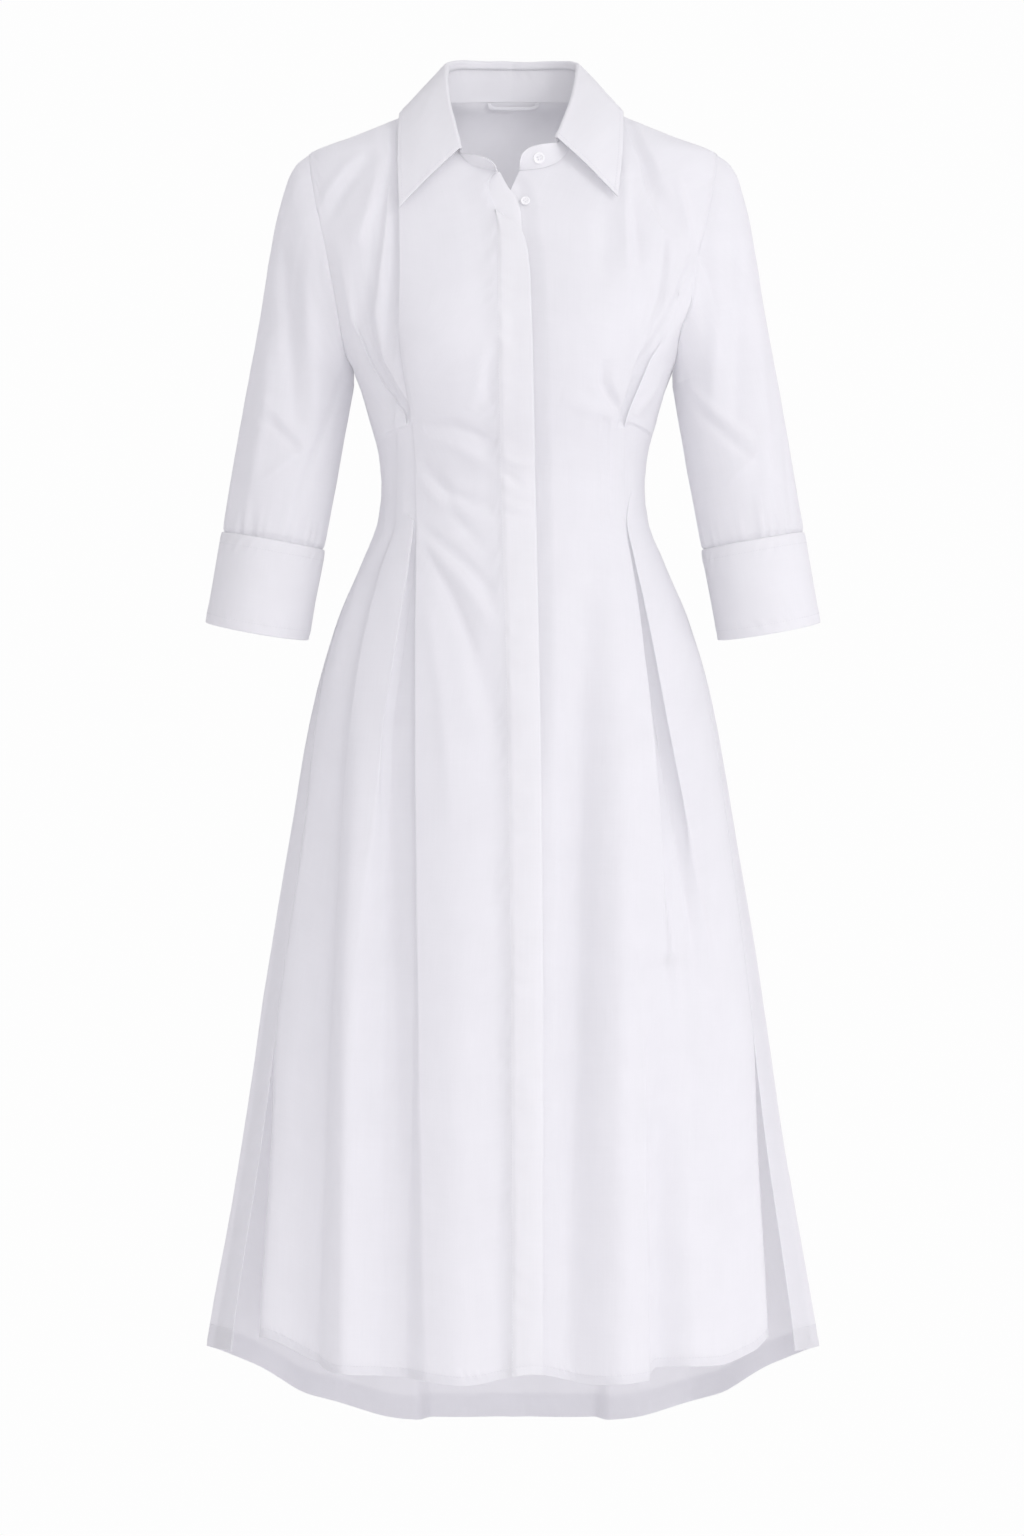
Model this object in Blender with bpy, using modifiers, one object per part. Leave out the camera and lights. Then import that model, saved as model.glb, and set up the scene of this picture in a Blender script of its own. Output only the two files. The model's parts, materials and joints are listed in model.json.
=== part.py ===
"""A collared shirt dress in its worn shape, with nobody in it.

The dress is an open tube of cloth walls: two fronts that lap at a fly placket, a back,
two set-in sleeves with deep cuffs, a collar stand and a folded collar leaf. Every panel
follows one body form, given as a table of level sections, and the pleats and folds are
moved out from that form or into it. Lengths are in metres. +Z is up, -Y is the front,
+X is the wearer's left, and the origin lies between the shoulders, where the dress hangs.
"""

import math

import bpy
from mathutils import Vector

# ---------------------------------------------------------------- driving dimensions
CLOTH = 0.0012  # wall of one panel
COLLAR_CLOTH = 0.0014  # collar stand and leaf, which are interlined
CUFF_CLOTH = 0.0024  # a cuff is folded double
SEAM_GAP = 0.0003  # between neighbouring pieces at a seam
SEAM_SPREAD = 0.0007  # the same at the outside of a seam that bends, so that the insides clear

UNDERARM = -0.250  # height of the armhole's lowest point
SHOULDER_TIP = -0.047  # height of the armhole's highest point
WAIST_TOP = -0.305  # the tucks are sewn flat from here
WAIST_END = -0.395  # down to here, and open below
SLIT_TOP = -0.870  # the side seams are open below this
SHOULDER_SEAM = math.radians(84.0)  # just in front of the shoulder's ridge

PLACKET_LIFT = 0.0008  # the placket's face stands this proud of the front
BAND_LIFT = -0.0017  # the buttonhole band lies behind the right front
LAP_LIFT = -0.0034  # the left front passes behind both
LAP_RAMP = 0.016  # and comes back to the body form over this width

ARM_LEAN = math.radians(10.0)  # the sleeves hang this far from upright
ARM_ROOT = Vector((0.1980, 0.0, -0.256))  # the sleeve's axis level with the underarm
ARM_FORWARD = 0.05  # how far the axis runs forward for each metre down
CUFF_TOP = 0.1575  # from ARM_ROOT down the axis to the cuff's upper edge
CUFF_DEPTH = 0.0842

TAPE_WIDTH = 0.0040  # of the hanger loop
TAPE_THICK = 0.0010
LOOP_CLEAR = 0.0009  # it hangs this far from the back's inner face

WHITE_COTTON = (0.90, 0.90, 0.92, 1.0)
WHITE_BUTTON = (0.93, 0.93, 0.94, 1.0)

# The body form: level sections from the neck down to the hem.
# height, half_width, front_depth, back_depth, squareness (2 is an ellipse)
SECTIONS = (
    (0.030, 0.0560, 0.036, 0.0560, 2.0),
    (0.004, 0.0680, 0.038, 0.0610, 2.0),
    (-0.005, 0.0900, 0.041, 0.0650, 2.0),
    (-0.014, 0.1110, 0.045, 0.0690, 2.0),
    (-0.029, 0.1480, 0.053, 0.0760, 2.0),
    (-0.047, 0.1920, 0.061, 0.0830, 2.0),
    (-0.070, 0.2060, 0.070, 0.0900, 2.1),
    (-0.105, 0.2110, 0.084, 0.0970, 2.1),
    (-0.150, 0.2060, 0.101, 0.1030, 2.2),
    (-0.200, 0.1850, 0.117, 0.1040, 2.2),
    (-0.250, 0.1500, 0.126, 0.0990, 2.3),
    (-0.296, 0.1350, 0.119, 0.0890, 2.3),
    (-0.334, 0.1255, 0.106, 0.0800, 2.3),
    (-0.362, 0.1235, 0.100, 0.0770, 2.3),
    (-0.390, 0.1265, 0.100, 0.0800, 2.3),
    (-0.428, 0.1410, 0.106, 0.0900, 2.2),
    (-0.484, 0.1645, 0.118, 0.1070, 2.2),
    (-0.559, 0.1860, 0.130, 0.1240, 2.2),
    (-0.672, 0.2070, 0.142, 0.1380, 2.2),
    (-0.822, 0.2320, 0.157, 0.1580, 2.1),
    (-0.973, 0.2540, 0.172, 0.1790, 2.1),
    (-1.161, 0.2870, 0.190, 0.2040, 2.1),
    (-1.280, 0.3030, 0.198, 0.2160, 2.1),
)

# The cups, which the pleats open out: centre across and up, half-size across and up, depth.
CUP = {"across": 0.074, "height": -0.228, "wide": 0.050, "tall": 0.062, "depth": 0.012}

# The armhole's edge seen from the front: height, distance from the centre.
ARMHOLE = (
    (-0.047, 0.1920),
    (-0.060, 0.1905),
    (-0.092, 0.1850),
    (-0.135, 0.1755),
    (-0.185, 0.1650),
    (-0.222, 0.1565),
    (-0.242, 0.1515),
    (-0.250, 0.1500),
)
# Steps round half the armhole, from the underarm (0) to the shoulder seam (1).
ARM_STEPS = (0.0, 0.16, 0.24, 0.32, 0.40, 0.47, 0.54, 0.60, 0.65, 0.71, 0.77, 0.83, 0.89, 0.95, 1.0)

# The front neckline. run (0 centre, 1 shoulder seam), across, height
NECK_FRONT = (
    (0.00, 0.0000, -0.0700),
    (0.20, 0.0180, -0.0690),
    (0.40, 0.0370, -0.0640),
    (0.60, 0.0500, -0.0520),
    (0.76, 0.0590, -0.0290),
    (0.86, 0.0625, -0.0140),
    (0.93, 0.0640, -0.0050),
    (0.97, 0.0655, 0.0010),
    (1.00, 0.0676, 0.0040),
)
NECK_RUNS = (0.32, 0.56, 0.77, 0.92, 1.0)  # a front's upper rows start at these
NECK_BACK_RISE = 0.007  # the centre back neckline is this far above the neck point

# The side seam and the two edges of the slit, as shares of the section's half-width.
# height, front_edge, back_edge
SIDE_EDGES = (
    (-0.250, 1.000, 1.000),
    (-0.400, 1.000, 1.000),
    (-0.500, 0.990, 0.990),
    (-0.620, 0.972, 0.972),
    (-0.750, 0.952, 0.952),
    (-0.870, 0.934, 0.934),
    (-0.950, 0.902, 0.928),
    (-1.050, 0.862, 0.920),
    (-1.170, 0.818, 0.909),
    (-1.280, 0.790, 0.900),
)

# The hem's height round the body. angle from centre front (degrees, + wearer's left), height
HEM = (
    (-180, -1.2640),
    (-160, -1.2580),
    (-140, -1.2340),
    (-120, -1.1940),
    (-100, -1.1720),
    (-80, -1.1620),
    (-64, -1.1600),
    (-54, -1.1440),
    (-42, -1.1600),
    (-32, -1.1715),
    (-20, -1.1730),
    (-8, -1.1790),
    (3, -1.1690),
    (14, -1.1790),
    (24, -1.1760),
    (27, -1.1650),
    (40, -1.1660),
    (50, -1.1560),
    (56, -1.1440),
    (64, -1.1600),
    (80, -1.1620),
    (100, -1.1720),
    (120, -1.1940),
    (140, -1.2340),
    (160, -1.2580),
    (180, -1.2640),
)

# Edges of the layers at the centre front. height, distance from the centre (+ wearer's left)
RIGHT_FRONT_EDGE = (  # where the right front meets the placket, curling back at the neck
    (-0.0690, -0.0140),
    (-0.0760, -0.0200),
    (-0.0850, -0.0232),
    (-0.0960, -0.0212),
    (-0.1080, -0.0165),
    (-0.1300, -0.0150),
    (-0.2600, -0.0138),
    (-0.3900, -0.0110),
    (-0.5600, -0.0064),
    (-0.8000, -0.0030),
    (-1.1900, -0.0010),
)
PLACKET_EDGE = (  # the fly's free folded edge
    (-0.1090, -0.0150),
    (-0.1160, -0.0064),
    (-0.1210, 0.0010),
    (-0.1260, 0.0055),
    (-0.1330, 0.0090),
    (-0.1450, 0.0122),
    (-0.1720, 0.0148),
    (-0.3000, 0.0183),
    (-0.4700, 0.0220),
    (-0.6600, 0.0254),
    (-0.8400, 0.0270),
    (-1.1900, 0.0270),
)
BAND_EDGE = (  # the buttonhole band's edge, which shows in the open neck
    (-0.0690, -0.0135),
    (-0.0870, -0.0037),
    (-0.0930, 0.0018),
    (-0.1010, 0.0046),
    (-0.1100, 0.0064),
    (-0.1300, 0.0080),
    (-0.1700, 0.0110),
    (-0.3000, 0.0150),
    (-0.6600, 0.0220),
    (-1.1900, 0.0236),
)
LEFT_FRONT_EDGE = (  # the left front's own edge, behind the fly
    (-0.0710, 0.0055),
    (-0.0770, 0.0025),
    (-0.0870, -0.0020),
    (-0.1100, -0.0080),
    (-1.1900, -0.0080),
)

# Pleats that run up and down a front. q grows from the edge towards the side.
# height, edge (from the centre), floor (flat width), near_wall, far_wall, depth
RIGHT_SHOULDER_PLEAT = (
    (-0.020, 0.1080, 0.002, 0.0022, 0.014, 0.0016),
    (-0.105, 0.1040, 0.003, 0.0022, 0.020, 0.0042),
    (-0.195, 0.1020, 0.003, 0.0022, 0.018, 0.0056),
    (-0.260, 0.0995, 0.002, 0.0022, 0.012, 0.0050),
    (-0.305, 0.0960, 0.001, 0.0022, 0.008, 0.0026),
    (-0.349, 0.0920, 0.001, 0.0022, 0.009, 0.0018),
    (-0.395, 0.0890, 0.001, 0.0022, 0.005, 0.0022),
    (-0.432, 0.0895, 0.006, 0.0026, 0.004, 0.0064),
    (-0.510, 0.0895, 0.017, 0.0030, 0.006, 0.0110),
    (-0.600, 0.0890, 0.021, 0.0045, 0.016, 0.0130),
    (-0.750, 0.0870, 0.024, 0.0085, 0.030, 0.0135),
    (-0.950, 0.0840, 0.026, 0.0130, 0.036, 0.0140),
    (-1.190, 0.0780, 0.026, 0.0170, 0.040, 0.0145),
)
RIGHT_SECOND_PLEAT = (
    (-0.300, 0.1070, 0.002, 0.0040, 0.010, 0.0010),
    (-0.395, 0.1095, 0.002, 0.0030, 0.010, 0.0024),
    (-0.443, 0.1270, 0.004, 0.0035, 0.014, 0.0070),
    (-0.515, 0.1425, 0.006, 0.0050, 0.018, 0.0080),
    (-0.600, 0.1540, 0.008, 0.0080, 0.022, 0.0060),
    (-0.720, 0.1640, 0.010, 0.0120, 0.026, 0.0000),
)
RIGHT_BUST_FOLD = (
    (-0.120, 0.1400, 0.004, 0.0120, 0.008, 0.0000),
    (-0.160, 0.1330, 0.005, 0.0120, 0.006, 0.0035),
    (-0.200, 0.1270, 0.005, 0.0120, 0.004, 0.0060),
    (-0.235, 0.1190, 0.005, 0.0110, 0.0028, 0.0075),
    (-0.260, 0.1070, 0.004, 0.0090, 0.0025, 0.0070),
    (-0.285, 0.0960, 0.003, 0.0070, 0.0025, 0.0048),
    (-0.305, 0.0900, 0.001, 0.0050, 0.0025, 0.0000),
)
LEFT_SHOULDER_PLEAT = (
    (-0.020, 0.1070, 0.001, 0.0025, 0.010, 0.0016),
    (-0.045, 0.1150, 0.002, 0.0025, 0.014, 0.0034),
    (-0.070, 0.1215, 0.003, 0.0030, 0.016, 0.0040),
    (-0.097, 0.1285, 0.004, 0.0045, 0.020, 0.0034),
    (-0.130, 0.1370, 0.004, 0.0070, 0.024, 0.0000),
)
LEFT_WAIST_PLEAT = (
    (-0.020, 0.1060, 0.001, 0.0050, 0.012, 0.0006),
    (-0.110, 0.1040, 0.002, 0.0050, 0.018, 0.0022),
    (-0.195, 0.1075, 0.002, 0.0045, 0.018, 0.0030),
    (-0.260, 0.1040, 0.002, 0.0035, 0.012, 0.0034),
    (-0.305, 0.1030, 0.001, 0.0025, 0.006, 0.0024),
    (-0.349, 0.1035, 0.001, 0.0025, 0.008, 0.0014),
    (-0.395, 0.1040, 0.001, 0.0022, 0.004, 0.0022),
    (-0.432, 0.1080, 0.004, 0.0026, 0.005, 0.0064),
    (-0.470, 0.1150, 0.008, 0.0032, 0.008, 0.0098),
    (-0.544, 0.1300, 0.010, 0.0050, 0.014, 0.0105),
    (-0.620, 0.1430, 0.010, 0.0100, 0.022, 0.0060),
    (-0.740, 0.1540, 0.010, 0.0150, 0.028, 0.0000),
)
LEFT_BUST_FOLD = (
    (-0.190, 0.1420, 0.003, 0.0100, 0.006, 0.0000),
    (-0.225, 0.1230, 0.003, 0.0090, 0.003, 0.0050),
    (-0.262, 0.1080, 0.003, 0.0070, 0.0025, 0.0058),
    (-0.288, 0.0980, 0.002, 0.0060, 0.0025, 0.0036),
    (-0.305, 0.0920, 0.001, 0.0050, 0.0025, 0.0000),
)
LEFT_HEM_PLEAT = (
    (-0.860, 0.1180, 0.004, 0.0080, 0.024, 0.0000),
    (-0.980, 0.1200, 0.006, 0.0060, 0.028, 0.0080),
    (-1.190, 0.1220, 0.010, 0.0040, 0.034, 0.0180),
)
BACK_PLEAT = (
    (-0.250, 0.0780, 0.001, 0.0050, 0.012, 0.0000),
    (-0.305, 0.0760, 0.001, 0.0025, 0.008, 0.0020),
    (-0.395, 0.0780, 0.001, 0.0022, 0.005, 0.0020),
    (-0.450, 0.0800, 0.006, 0.0028, 0.006, 0.0074),
    (-0.540, 0.0820, 0.016, 0.0040, 0.010, 0.0120),
    (-0.700, 0.0840, 0.022, 0.0100, 0.026, 0.0140),
    (-0.950, 0.0820, 0.026, 0.0160, 0.040, 0.0160),
    (-1.270, 0.0780, 0.028, 0.0200, 0.046, 0.0170),
)

# Soft folds of the skirt and bodice, up and down. height, centre (signed), width, rise
FRONT_FOLDS = (
    ((-0.450, -0.0450, 0.022, 0.0), (-0.640, -0.0540, 0.028, 0.0050), (-1.190, -0.0500, 0.030, 0.0080)),
    ((-0.560, -0.1660, 0.020, 0.0), (-0.800, -0.1850, 0.024, -0.0080), (-1.190, -0.1960, 0.030, -0.0120)),
    ((-0.560, -0.1380, 0.020, 0.0), (-0.860, -0.1500, 0.022, 0.0050), (-1.190, -0.1530, 0.024, 0.0060)),
    ((-0.400, 0.0790, 0.010, 0.0), (-0.500, 0.0690, 0.018, -0.0050), (-0.700, 0.0560, 0.024, -0.0090),
     (-1.190, 0.0520, 0.026, -0.0120)),
    ((-0.450, 0.0980, 0.018, 0.0), (-0.700, 0.0980, 0.022, 0.0040), (-1.190, 0.0960, 0.024, 0.0090)),
    ((-0.700, 0.1700, 0.020, 0.0), (-0.900, 0.1880, 0.022, -0.0050), (-1.190, 0.2060, 0.024, -0.0080)),
    ((-0.100, -0.1500, 0.012, 0.0), (-0.170, -0.1450, 0.012, 0.0030), (-0.250, -0.1300, 0.010, 0.0030),
     (-0.300, -0.1150, 0.010, 0.0)),
    ((-0.100, 0.1500, 0.012, 0.0), (-0.190, 0.1430, 0.012, 0.0025), (-0.270, 0.1220, 0.010, 0.0025),
     (-0.300, 0.1150, 0.010, 0.0)),
)
BACK_FOLDS = (
    ((-0.420, 0.0000, 0.026, 0.0), (-0.700, 0.0000, 0.034, 0.0060), (-1.270, 0.0000, 0.040, 0.0120)),
    ((-0.480, -0.1460, 0.020, 0.0), (-0.800, -0.1600, 0.026, 0.0060), (-1.230, -0.1650, 0.032, 0.0110)),
    ((-0.480, 0.1460, 0.020, 0.0), (-0.800, 0.1580, 0.026, 0.0060), (-1.230, 0.1680, 0.032, 0.0110)),
    ((-0.700, -0.2080, 0.018, 0.0), (-0.900, -0.2150, 0.022, -0.0060), (-1.200, -0.2300, 0.026, -0.0100)),
    ((-0.700, 0.2080, 0.018, 0.0), (-0.900, 0.2180, 0.022, -0.0060), (-1.200, 0.2320, 0.026, -0.0100)),
)

# The collar's roll and outer edge on the wearer's left, centre back (0) to front end (1).
# run, roll_x, roll_y, roll_z, edge_x, edge_y, edge_z
COLLAR = (
    (0.00, 0.0000, 0.0600, 0.0500, 0.0000, 0.0765, -0.0090),
    (0.18, 0.0300, 0.0540, 0.0495, 0.0440, 0.0740, -0.0100),
    (0.34, 0.0520, 0.0360, 0.0470, 0.0800, 0.0560, -0.0080),
    (0.48, 0.0610, 0.0110, 0.0400, 0.1000, 0.0200, -0.0040),
    (0.60, 0.0605, -0.0120, 0.0270, 0.1050, -0.0160, -0.0090),
    (0.72, 0.0580, -0.0320, 0.0080, 0.1050, -0.0430, -0.0290),
    (0.86, 0.0510, -0.0540, -0.0190, 0.1040, -0.0640, -0.0620),
    (1.00, 0.0430, -0.0690, -0.0440, 0.1010, -0.0800, -0.1000),
)
ROLL_RISE = (0.0070, 0.0073)  # the leaf rises this far before it turns over, behind and in front
ROLL_RADIUS = 0.0026

# The stand's upper edge on one side beyond the leaf, to its rounded end.
# run, x, y, z
STAND_END_TOP = (
    (1.10, 0.0300, -0.0745, -0.0512),
    (1.20, 0.0205, -0.0770, -0.0540),
    (1.28, 0.0120, -0.0785, -0.0610),
    (1.32, 0.0098, -0.0787, -0.0680),
)
STAND_ENDS = {-1: 0.0139, 1: 0.0055}  # where each end meets the neckline, from the centre
COLLAR_SKEW = -0.0043  # the open collar lies this far to the wearer's right in front
COLLAR_DROP = 0.0050  # and its right point hangs lower than its left by twice this
CURL = {"height": -0.088, "tall": 0.014, "wide": 0.016, "lift": 0.004}

# Rings of a sleeve's cap: share of the way from armhole to underarm level, bulge
CAP_RINGS = (
    (0.00, 0.0000),
    (0.06, 0.0095),
    (0.14, 0.0130),
    (0.28, 0.0135),
    (0.48, 0.0105),
    (0.74, 0.0045),
)
# Rings of its tube: distance down the axis from the underarm, half_width, half_depth
SLEEVE_RINGS = (
    (0.0000, 0.0490, 0.0530),
    (0.0350, 0.0492, 0.0512),
    (0.0750, 0.0492, 0.0496),
    (0.1150, 0.0490, 0.0484),
    (0.1420, 0.0487, 0.0478),
    (0.1530, 0.0480, 0.0470),
    (0.1580, 0.0459, 0.0449),
    (0.1660, 0.0456, 0.0446),
)
# Rings of a cuff: share of its depth, half_width, half_depth
CUFF_RINGS = (
    (0.00, 0.0490, 0.0480),
    (0.06, 0.0494, 0.0484),
    (0.50, 0.0490, 0.0480),
    (1.00, 0.0490, 0.0480),
)

# Rows of a panel, from the hem up: shares of the way from the waist's end to the hem,
# then heights through the waist, then heights at its centre for each step of the armhole.
SKIRT_SHARES = (1.0, 0.965, 0.90, 0.82, 0.74, 0.66, 0.58, 0.50, 0.42, 0.345, 0.275, 0.21)
SKIRT_SHARES += (0.155, 0.11, 0.07, 0.035, 0.0009)  # the last lies a seam's gap below the waist
WAIST_HEIGHTS = (WAIST_END, -0.372, -0.349, -0.326, WAIST_TOP, -0.286, -0.267)
CENTRE_HEIGHTS = (-0.248, -0.228, -0.206, -0.182, -0.158, -0.134, -0.114, -0.097, -0.083)
FRONT_COLUMNS = (1, 4, 1, 1, 2, 8)  # past the fly, to a pleat's edge, foot, floor, top, side
FLY_COLUMN = (0.02, 0.30)  # least and greatest share of a row for the stretch behind the fly
PLEAT_LIMIT = (0.80, 0.04)  # a pleat's edge stays below this share of a row, each next stop higher
BACK_COLUMNS = (3, 1, 2, 2, 5)
BACK_NECK_COLUMNS = 8  # of a half, the rest end on the shoulder seam
# The upper rows of the two strips at the centre front; below them they share the fronts' rows.
PLACKET_TOP = (-0.126, -0.121, -0.116, -0.1125, -0.109)
BAND_TOP = (-0.1175, -0.110, -0.101, -0.093, -0.087, -0.080, -0.074, -0.0705)

# One button: radius, height, from the axis over the rim to the base.
BUTTON_PROFILE = (
    (0.0, 0.0013),
    (0.0030, 0.0013),
    (0.0037, 0.0019),
    (0.0047, 0.0021),
    (0.0055, 0.0016),
    (0.0056, 0.0007),
    (0.0050, 0.0),
    (0.0, 0.0),
)
COLLAR_BUTTON = (0.91, 0.45)  # share of the way round the stand's left half, share of its height
FRONT_BUTTON = (0.0112, -0.0985)  # across, height of the button that shows in the open neck
BAND_UNDER = 0.012  # how far the buttonhole band runs under the right front
LEAF_STEPS = 14  # sections of half the leaf
LEAF_CLEAR = (0.0008, 0.0023)  # from the stand's upper edge to the leaf, behind and in front
ARMHOLE_CENTRE = Vector((0.2000, 0.0, -0.150))

# The middle of the hanger loop's tape. across, height
HANGER_LOOP = (
    (-0.0235, 0.0092),
    (-0.0226, 0.0066),
    (-0.0195, 0.0050),
    (-0.0140, 0.0046),
    (0.0140, 0.0046),
    (0.0195, 0.0050),
    (0.0226, 0.0066),
    (0.0235, 0.0092),
)


# ---------------------------------------------------------------- curves through tables
def smooth(table, key, column):
    """The value of a column at key, on a smooth curve through the table's rows."""
    rows = table if table[0][0] < table[-1][0] else table[::-1]
    if key <= rows[0][0]:
        return rows[0][column]
    if key >= rows[-1][0]:
        return rows[-1][column]
    at = next(i for i in range(len(rows) - 1) if rows[i + 1][0] >= key)

    def slope(i):
        low, high = rows[max(i - 1, 0)], rows[min(i + 1, len(rows) - 1)]
        if i in (0, len(rows) - 1):
            return (high[column] - low[column]) / (high[0] - low[0])
        before = (rows[i][column] - low[column]) / (rows[i][0] - low[0])
        after = (high[column] - rows[i][column]) / (high[0] - rows[i][0])
        if before * after <= 0:
            return 0.0
        return 2 * before * after / (before + after)

    first, last = rows[at], rows[at + 1]
    step = last[0] - first[0]
    t = (key - first[0]) / step
    return (
        first[column] * (1 + 2 * t) * (1 - t) ** 2
        + slope(at) * step * t * (1 - t) ** 2
        + last[column] * t * t * (3 - 2 * t)
        - slope(at + 1) * step * t * t * (1 - t)
    )


def ease(t):
    t = min(max(t, 0.0), 1.0)
    return t * t * (3 - 2 * t)


def mix(first, last, t):
    return first + (last - first) * t


# ---------------------------------------------------------------- the body form
def power(value, exponent):
    return math.copysign(abs(value) ** exponent, value)


def body_point(angle, height):
    """A point of the plain form. The angle is 0 at the centre front, + to the wearer's left."""
    wide = smooth(SECTIONS, height, 1)
    deep = smooth(SECTIONS, height, 2 if math.cos(angle) > 0 else 3)
    square = 2 / smooth(SECTIONS, height, 4)
    return Vector(
        (wide * power(math.sin(angle), square), -deep * power(math.cos(angle), square), height)
    )


def body_normal(angle, height):
    step = 0.02
    around = body_point(angle + step, height) - body_point(angle - step, height)
    up = body_point(angle, height + 0.004) - body_point(angle, height - 0.004)
    return around.cross(up).normalized()


def angle_at(across, height):
    """The front angle whose point lies this far from the centre."""
    share = min(abs(across) / smooth(SECTIONS, height, 1), 1.0)
    half = smooth(SECTIONS, height, 4) / 2
    return math.copysign(math.asin(min(share**half, 1.0)), across)


def pleat_depth(table, q_from, height):
    """How far a pleat's floor lies below the panel at a distance from the centre."""
    edge, floor, near, far, depth = (smooth(table, height, c) for c in range(1, 6))
    q = q_from - edge
    return -depth * ease(q / near) * (1 - ease((q - near - floor) / far))


def fold_rise(folds, across, height):
    total = 0.0
    for fold in folds:
        if fold[-1][0] <= height <= fold[0][0]:
            centre, width, rise = (smooth(fold, height, c) for c in (1, 2, 3))
            total += rise * math.exp(-(((across - centre) / width) ** 2))
    return total


RIGHT_PLEATS = (RIGHT_SHOULDER_PLEAT, RIGHT_SECOND_PLEAT, RIGHT_BUST_FOLD)
LEFT_PLEATS = (LEFT_SHOULDER_PLEAT, LEFT_WAIST_PLEAT, LEFT_BUST_FOLD, LEFT_HEM_PLEAT)


def front_relief(across, height):
    rise = fold_rise(FRONT_FOLDS, across, height)
    for pleat in RIGHT_PLEATS if across < 0 else LEFT_PLEATS:
        rise += pleat_depth(pleat, abs(across), height)
    aside = (abs(across) - CUP["across"]) / CUP["wide"]
    above = (height - CUP["height"]) / CUP["tall"]
    return rise + CUP["depth"] * math.exp(-aside * aside - above * above)


def back_relief(across, height):
    return fold_rise(BACK_FOLDS, across, height) + pleat_depth(BACK_PLEAT, abs(across), height)


def cloth_point(angle, height, lift=0.0):
    """A point of the worn cloth, with its pleats and folds, moved out by lift."""
    plain = body_point(angle, height)
    relief = front_relief if math.cos(angle) > 0 else back_relief
    # The folds die away at the shoulder seam and straight at the side.
    fade = ease((abs(math.cos(angle)) - math.cos(SHOULDER_SEAM)) / 0.2)
    return plain + body_normal(angle, height) * (relief(plain.x, height) * fade + lift)


def fly_lift(angle, height):
    """The right front's edge curls forward where the neck is open."""
    from_edge = body_point(angle, height).x - smooth(RIGHT_FRONT_EDGE, height, 1)
    up = (height - CURL["height"]) / CURL["tall"]
    aside = min(from_edge, 0.0) / CURL["wide"]
    return CURL["lift"] * math.exp(-up * up - aside * aside)


def fly_reach(height):
    """How far the fly's layers reach over the left front."""
    band = smooth(BAND_EDGE, height - 0.010, 1)
    return max(smooth(PLACKET_EDGE, height, 1), band) + 0.0015


def lap_lift(angle, height):
    """The left front dips behind the fly."""
    beyond = body_point(angle, height).x - fly_reach(height)
    return LAP_LIFT * (1 - ease(beyond / LAP_RAMP))


# ---------------------------------------------------------------- solids
def clear_scene():
    for old in list(bpy.data.objects):
        bpy.data.objects.remove(old, do_unlink=True)


def finish(name, colour, roughness):
    material = bpy.data.materials.new(name + "_finish")
    material.use_nodes = True
    shader = material.node_tree.nodes["Principled BSDF"]
    shader.inputs["Base Color"].default_value = colour
    shader.inputs["Roughness"].default_value = roughness
    shader.inputs["Metallic"].default_value = 0.0
    return material


def cloth_wall(name, rows, thickness, collection, around=False):
    """A loft through rows of points, thickened away from its outer face."""
    count = len(rows[0])
    faces = []
    for r in range(len(rows) - 1):
        for c in range(count if around else count - 1):
            n = (c + 1) % count
            faces.append((r * count + c, r * count + n, (r + 1) * count + n, (r + 1) * count + c))
    mesh = bpy.data.meshes.new(name)
    mesh.from_pydata([p for row in rows for p in row], [], faces)
    mesh.shade_smooth()
    mesh.materials.append(finish(name, WHITE_COTTON, 0.82))
    made = bpy.data.objects.new(name, mesh)
    collection.objects.link(made)
    wall = made.modifiers.new("wall", "SOLIDIFY")
    wall.thickness = thickness
    wall.offset = -1.0
    return made


def spread(stops, counts):
    """Values from stop to stop, with the given number of steps in each stretch."""
    found = []
    for low, high, count in zip(stops, stops[1:], counts):
        found += [mix(low, high, i / count) for i in range(count)]
    return found + [stops[-1]]


# ---------------------------------------------------------------- edges that panels share
def skirt_height(share, angle):
    return mix(WAIST_END, smooth(HEM, math.degrees(angle), 1), share)


def side_angle(column, height):
    """The angle of the side seam, or of the slit's front edge (1) or back edge (2)."""
    if height >= SLIT_TOP:
        column = 1
    return angle_at(smooth(SIDE_EDGES, height, column) * smooth(SECTIONS, height, 1), height)


def armhole_height(step):
    return mix(UNDERARM, SHOULDER_TIP, (1 - math.cos(math.pi * step)) / 2)


def armhole_angle(step, column):
    """The angle of the armhole's front edge (column 1) or back edge (column 2)."""
    if step == 1.0:
        return SHOULDER_SEAM
    height = armhole_height(step)
    angle = angle_at(smooth(ARMHOLE, height, 1), height)
    return min(angle, SHOULDER_SEAM) if column == 1 else math.pi - angle


def side_ends(side, column):
    """The outer end of each row of a panel, from the hem to the shoulder: angle, height."""
    ends = []
    for share in SKIRT_SHARES:
        angle = 1.3
        for _ in range(4):
            height = skirt_height(share, side * angle)
            angle = side_angle(column, height)
        ends.append((angle, height))
    ends += [(side_angle(column, height), height) for height in WAIST_HEIGHTS]
    ends += [(armhole_angle(step, column), armhole_height(step)) for step in ARM_STEPS]
    return ends


def neck_front(side, run):
    """A point of the front neckline: angle, height."""
    height = smooth(NECK_FRONT, run, 2)
    if run >= 1.0:
        return side * SHOULDER_SEAM, height
    return side * min(angle_at(smooth(NECK_FRONT, run, 1), height), SHOULDER_SEAM), height


def neck_runs(side):
    """Where a front's upper rows start on the neckline, from the stand's end outwards."""
    return (STAND_ENDS[side] * NECK_FRONT[1][0] / NECK_FRONT[1][1],) + NECK_RUNS


def neck_back(t):
    """A point of the back neckline, from the shoulder seam (0) to the centre (1)."""
    neck_point = NECK_FRONT[-1][2]
    return mix(SHOULDER_SEAM, math.pi, t), neck_point + NECK_BACK_RISE * ease(t)


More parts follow.
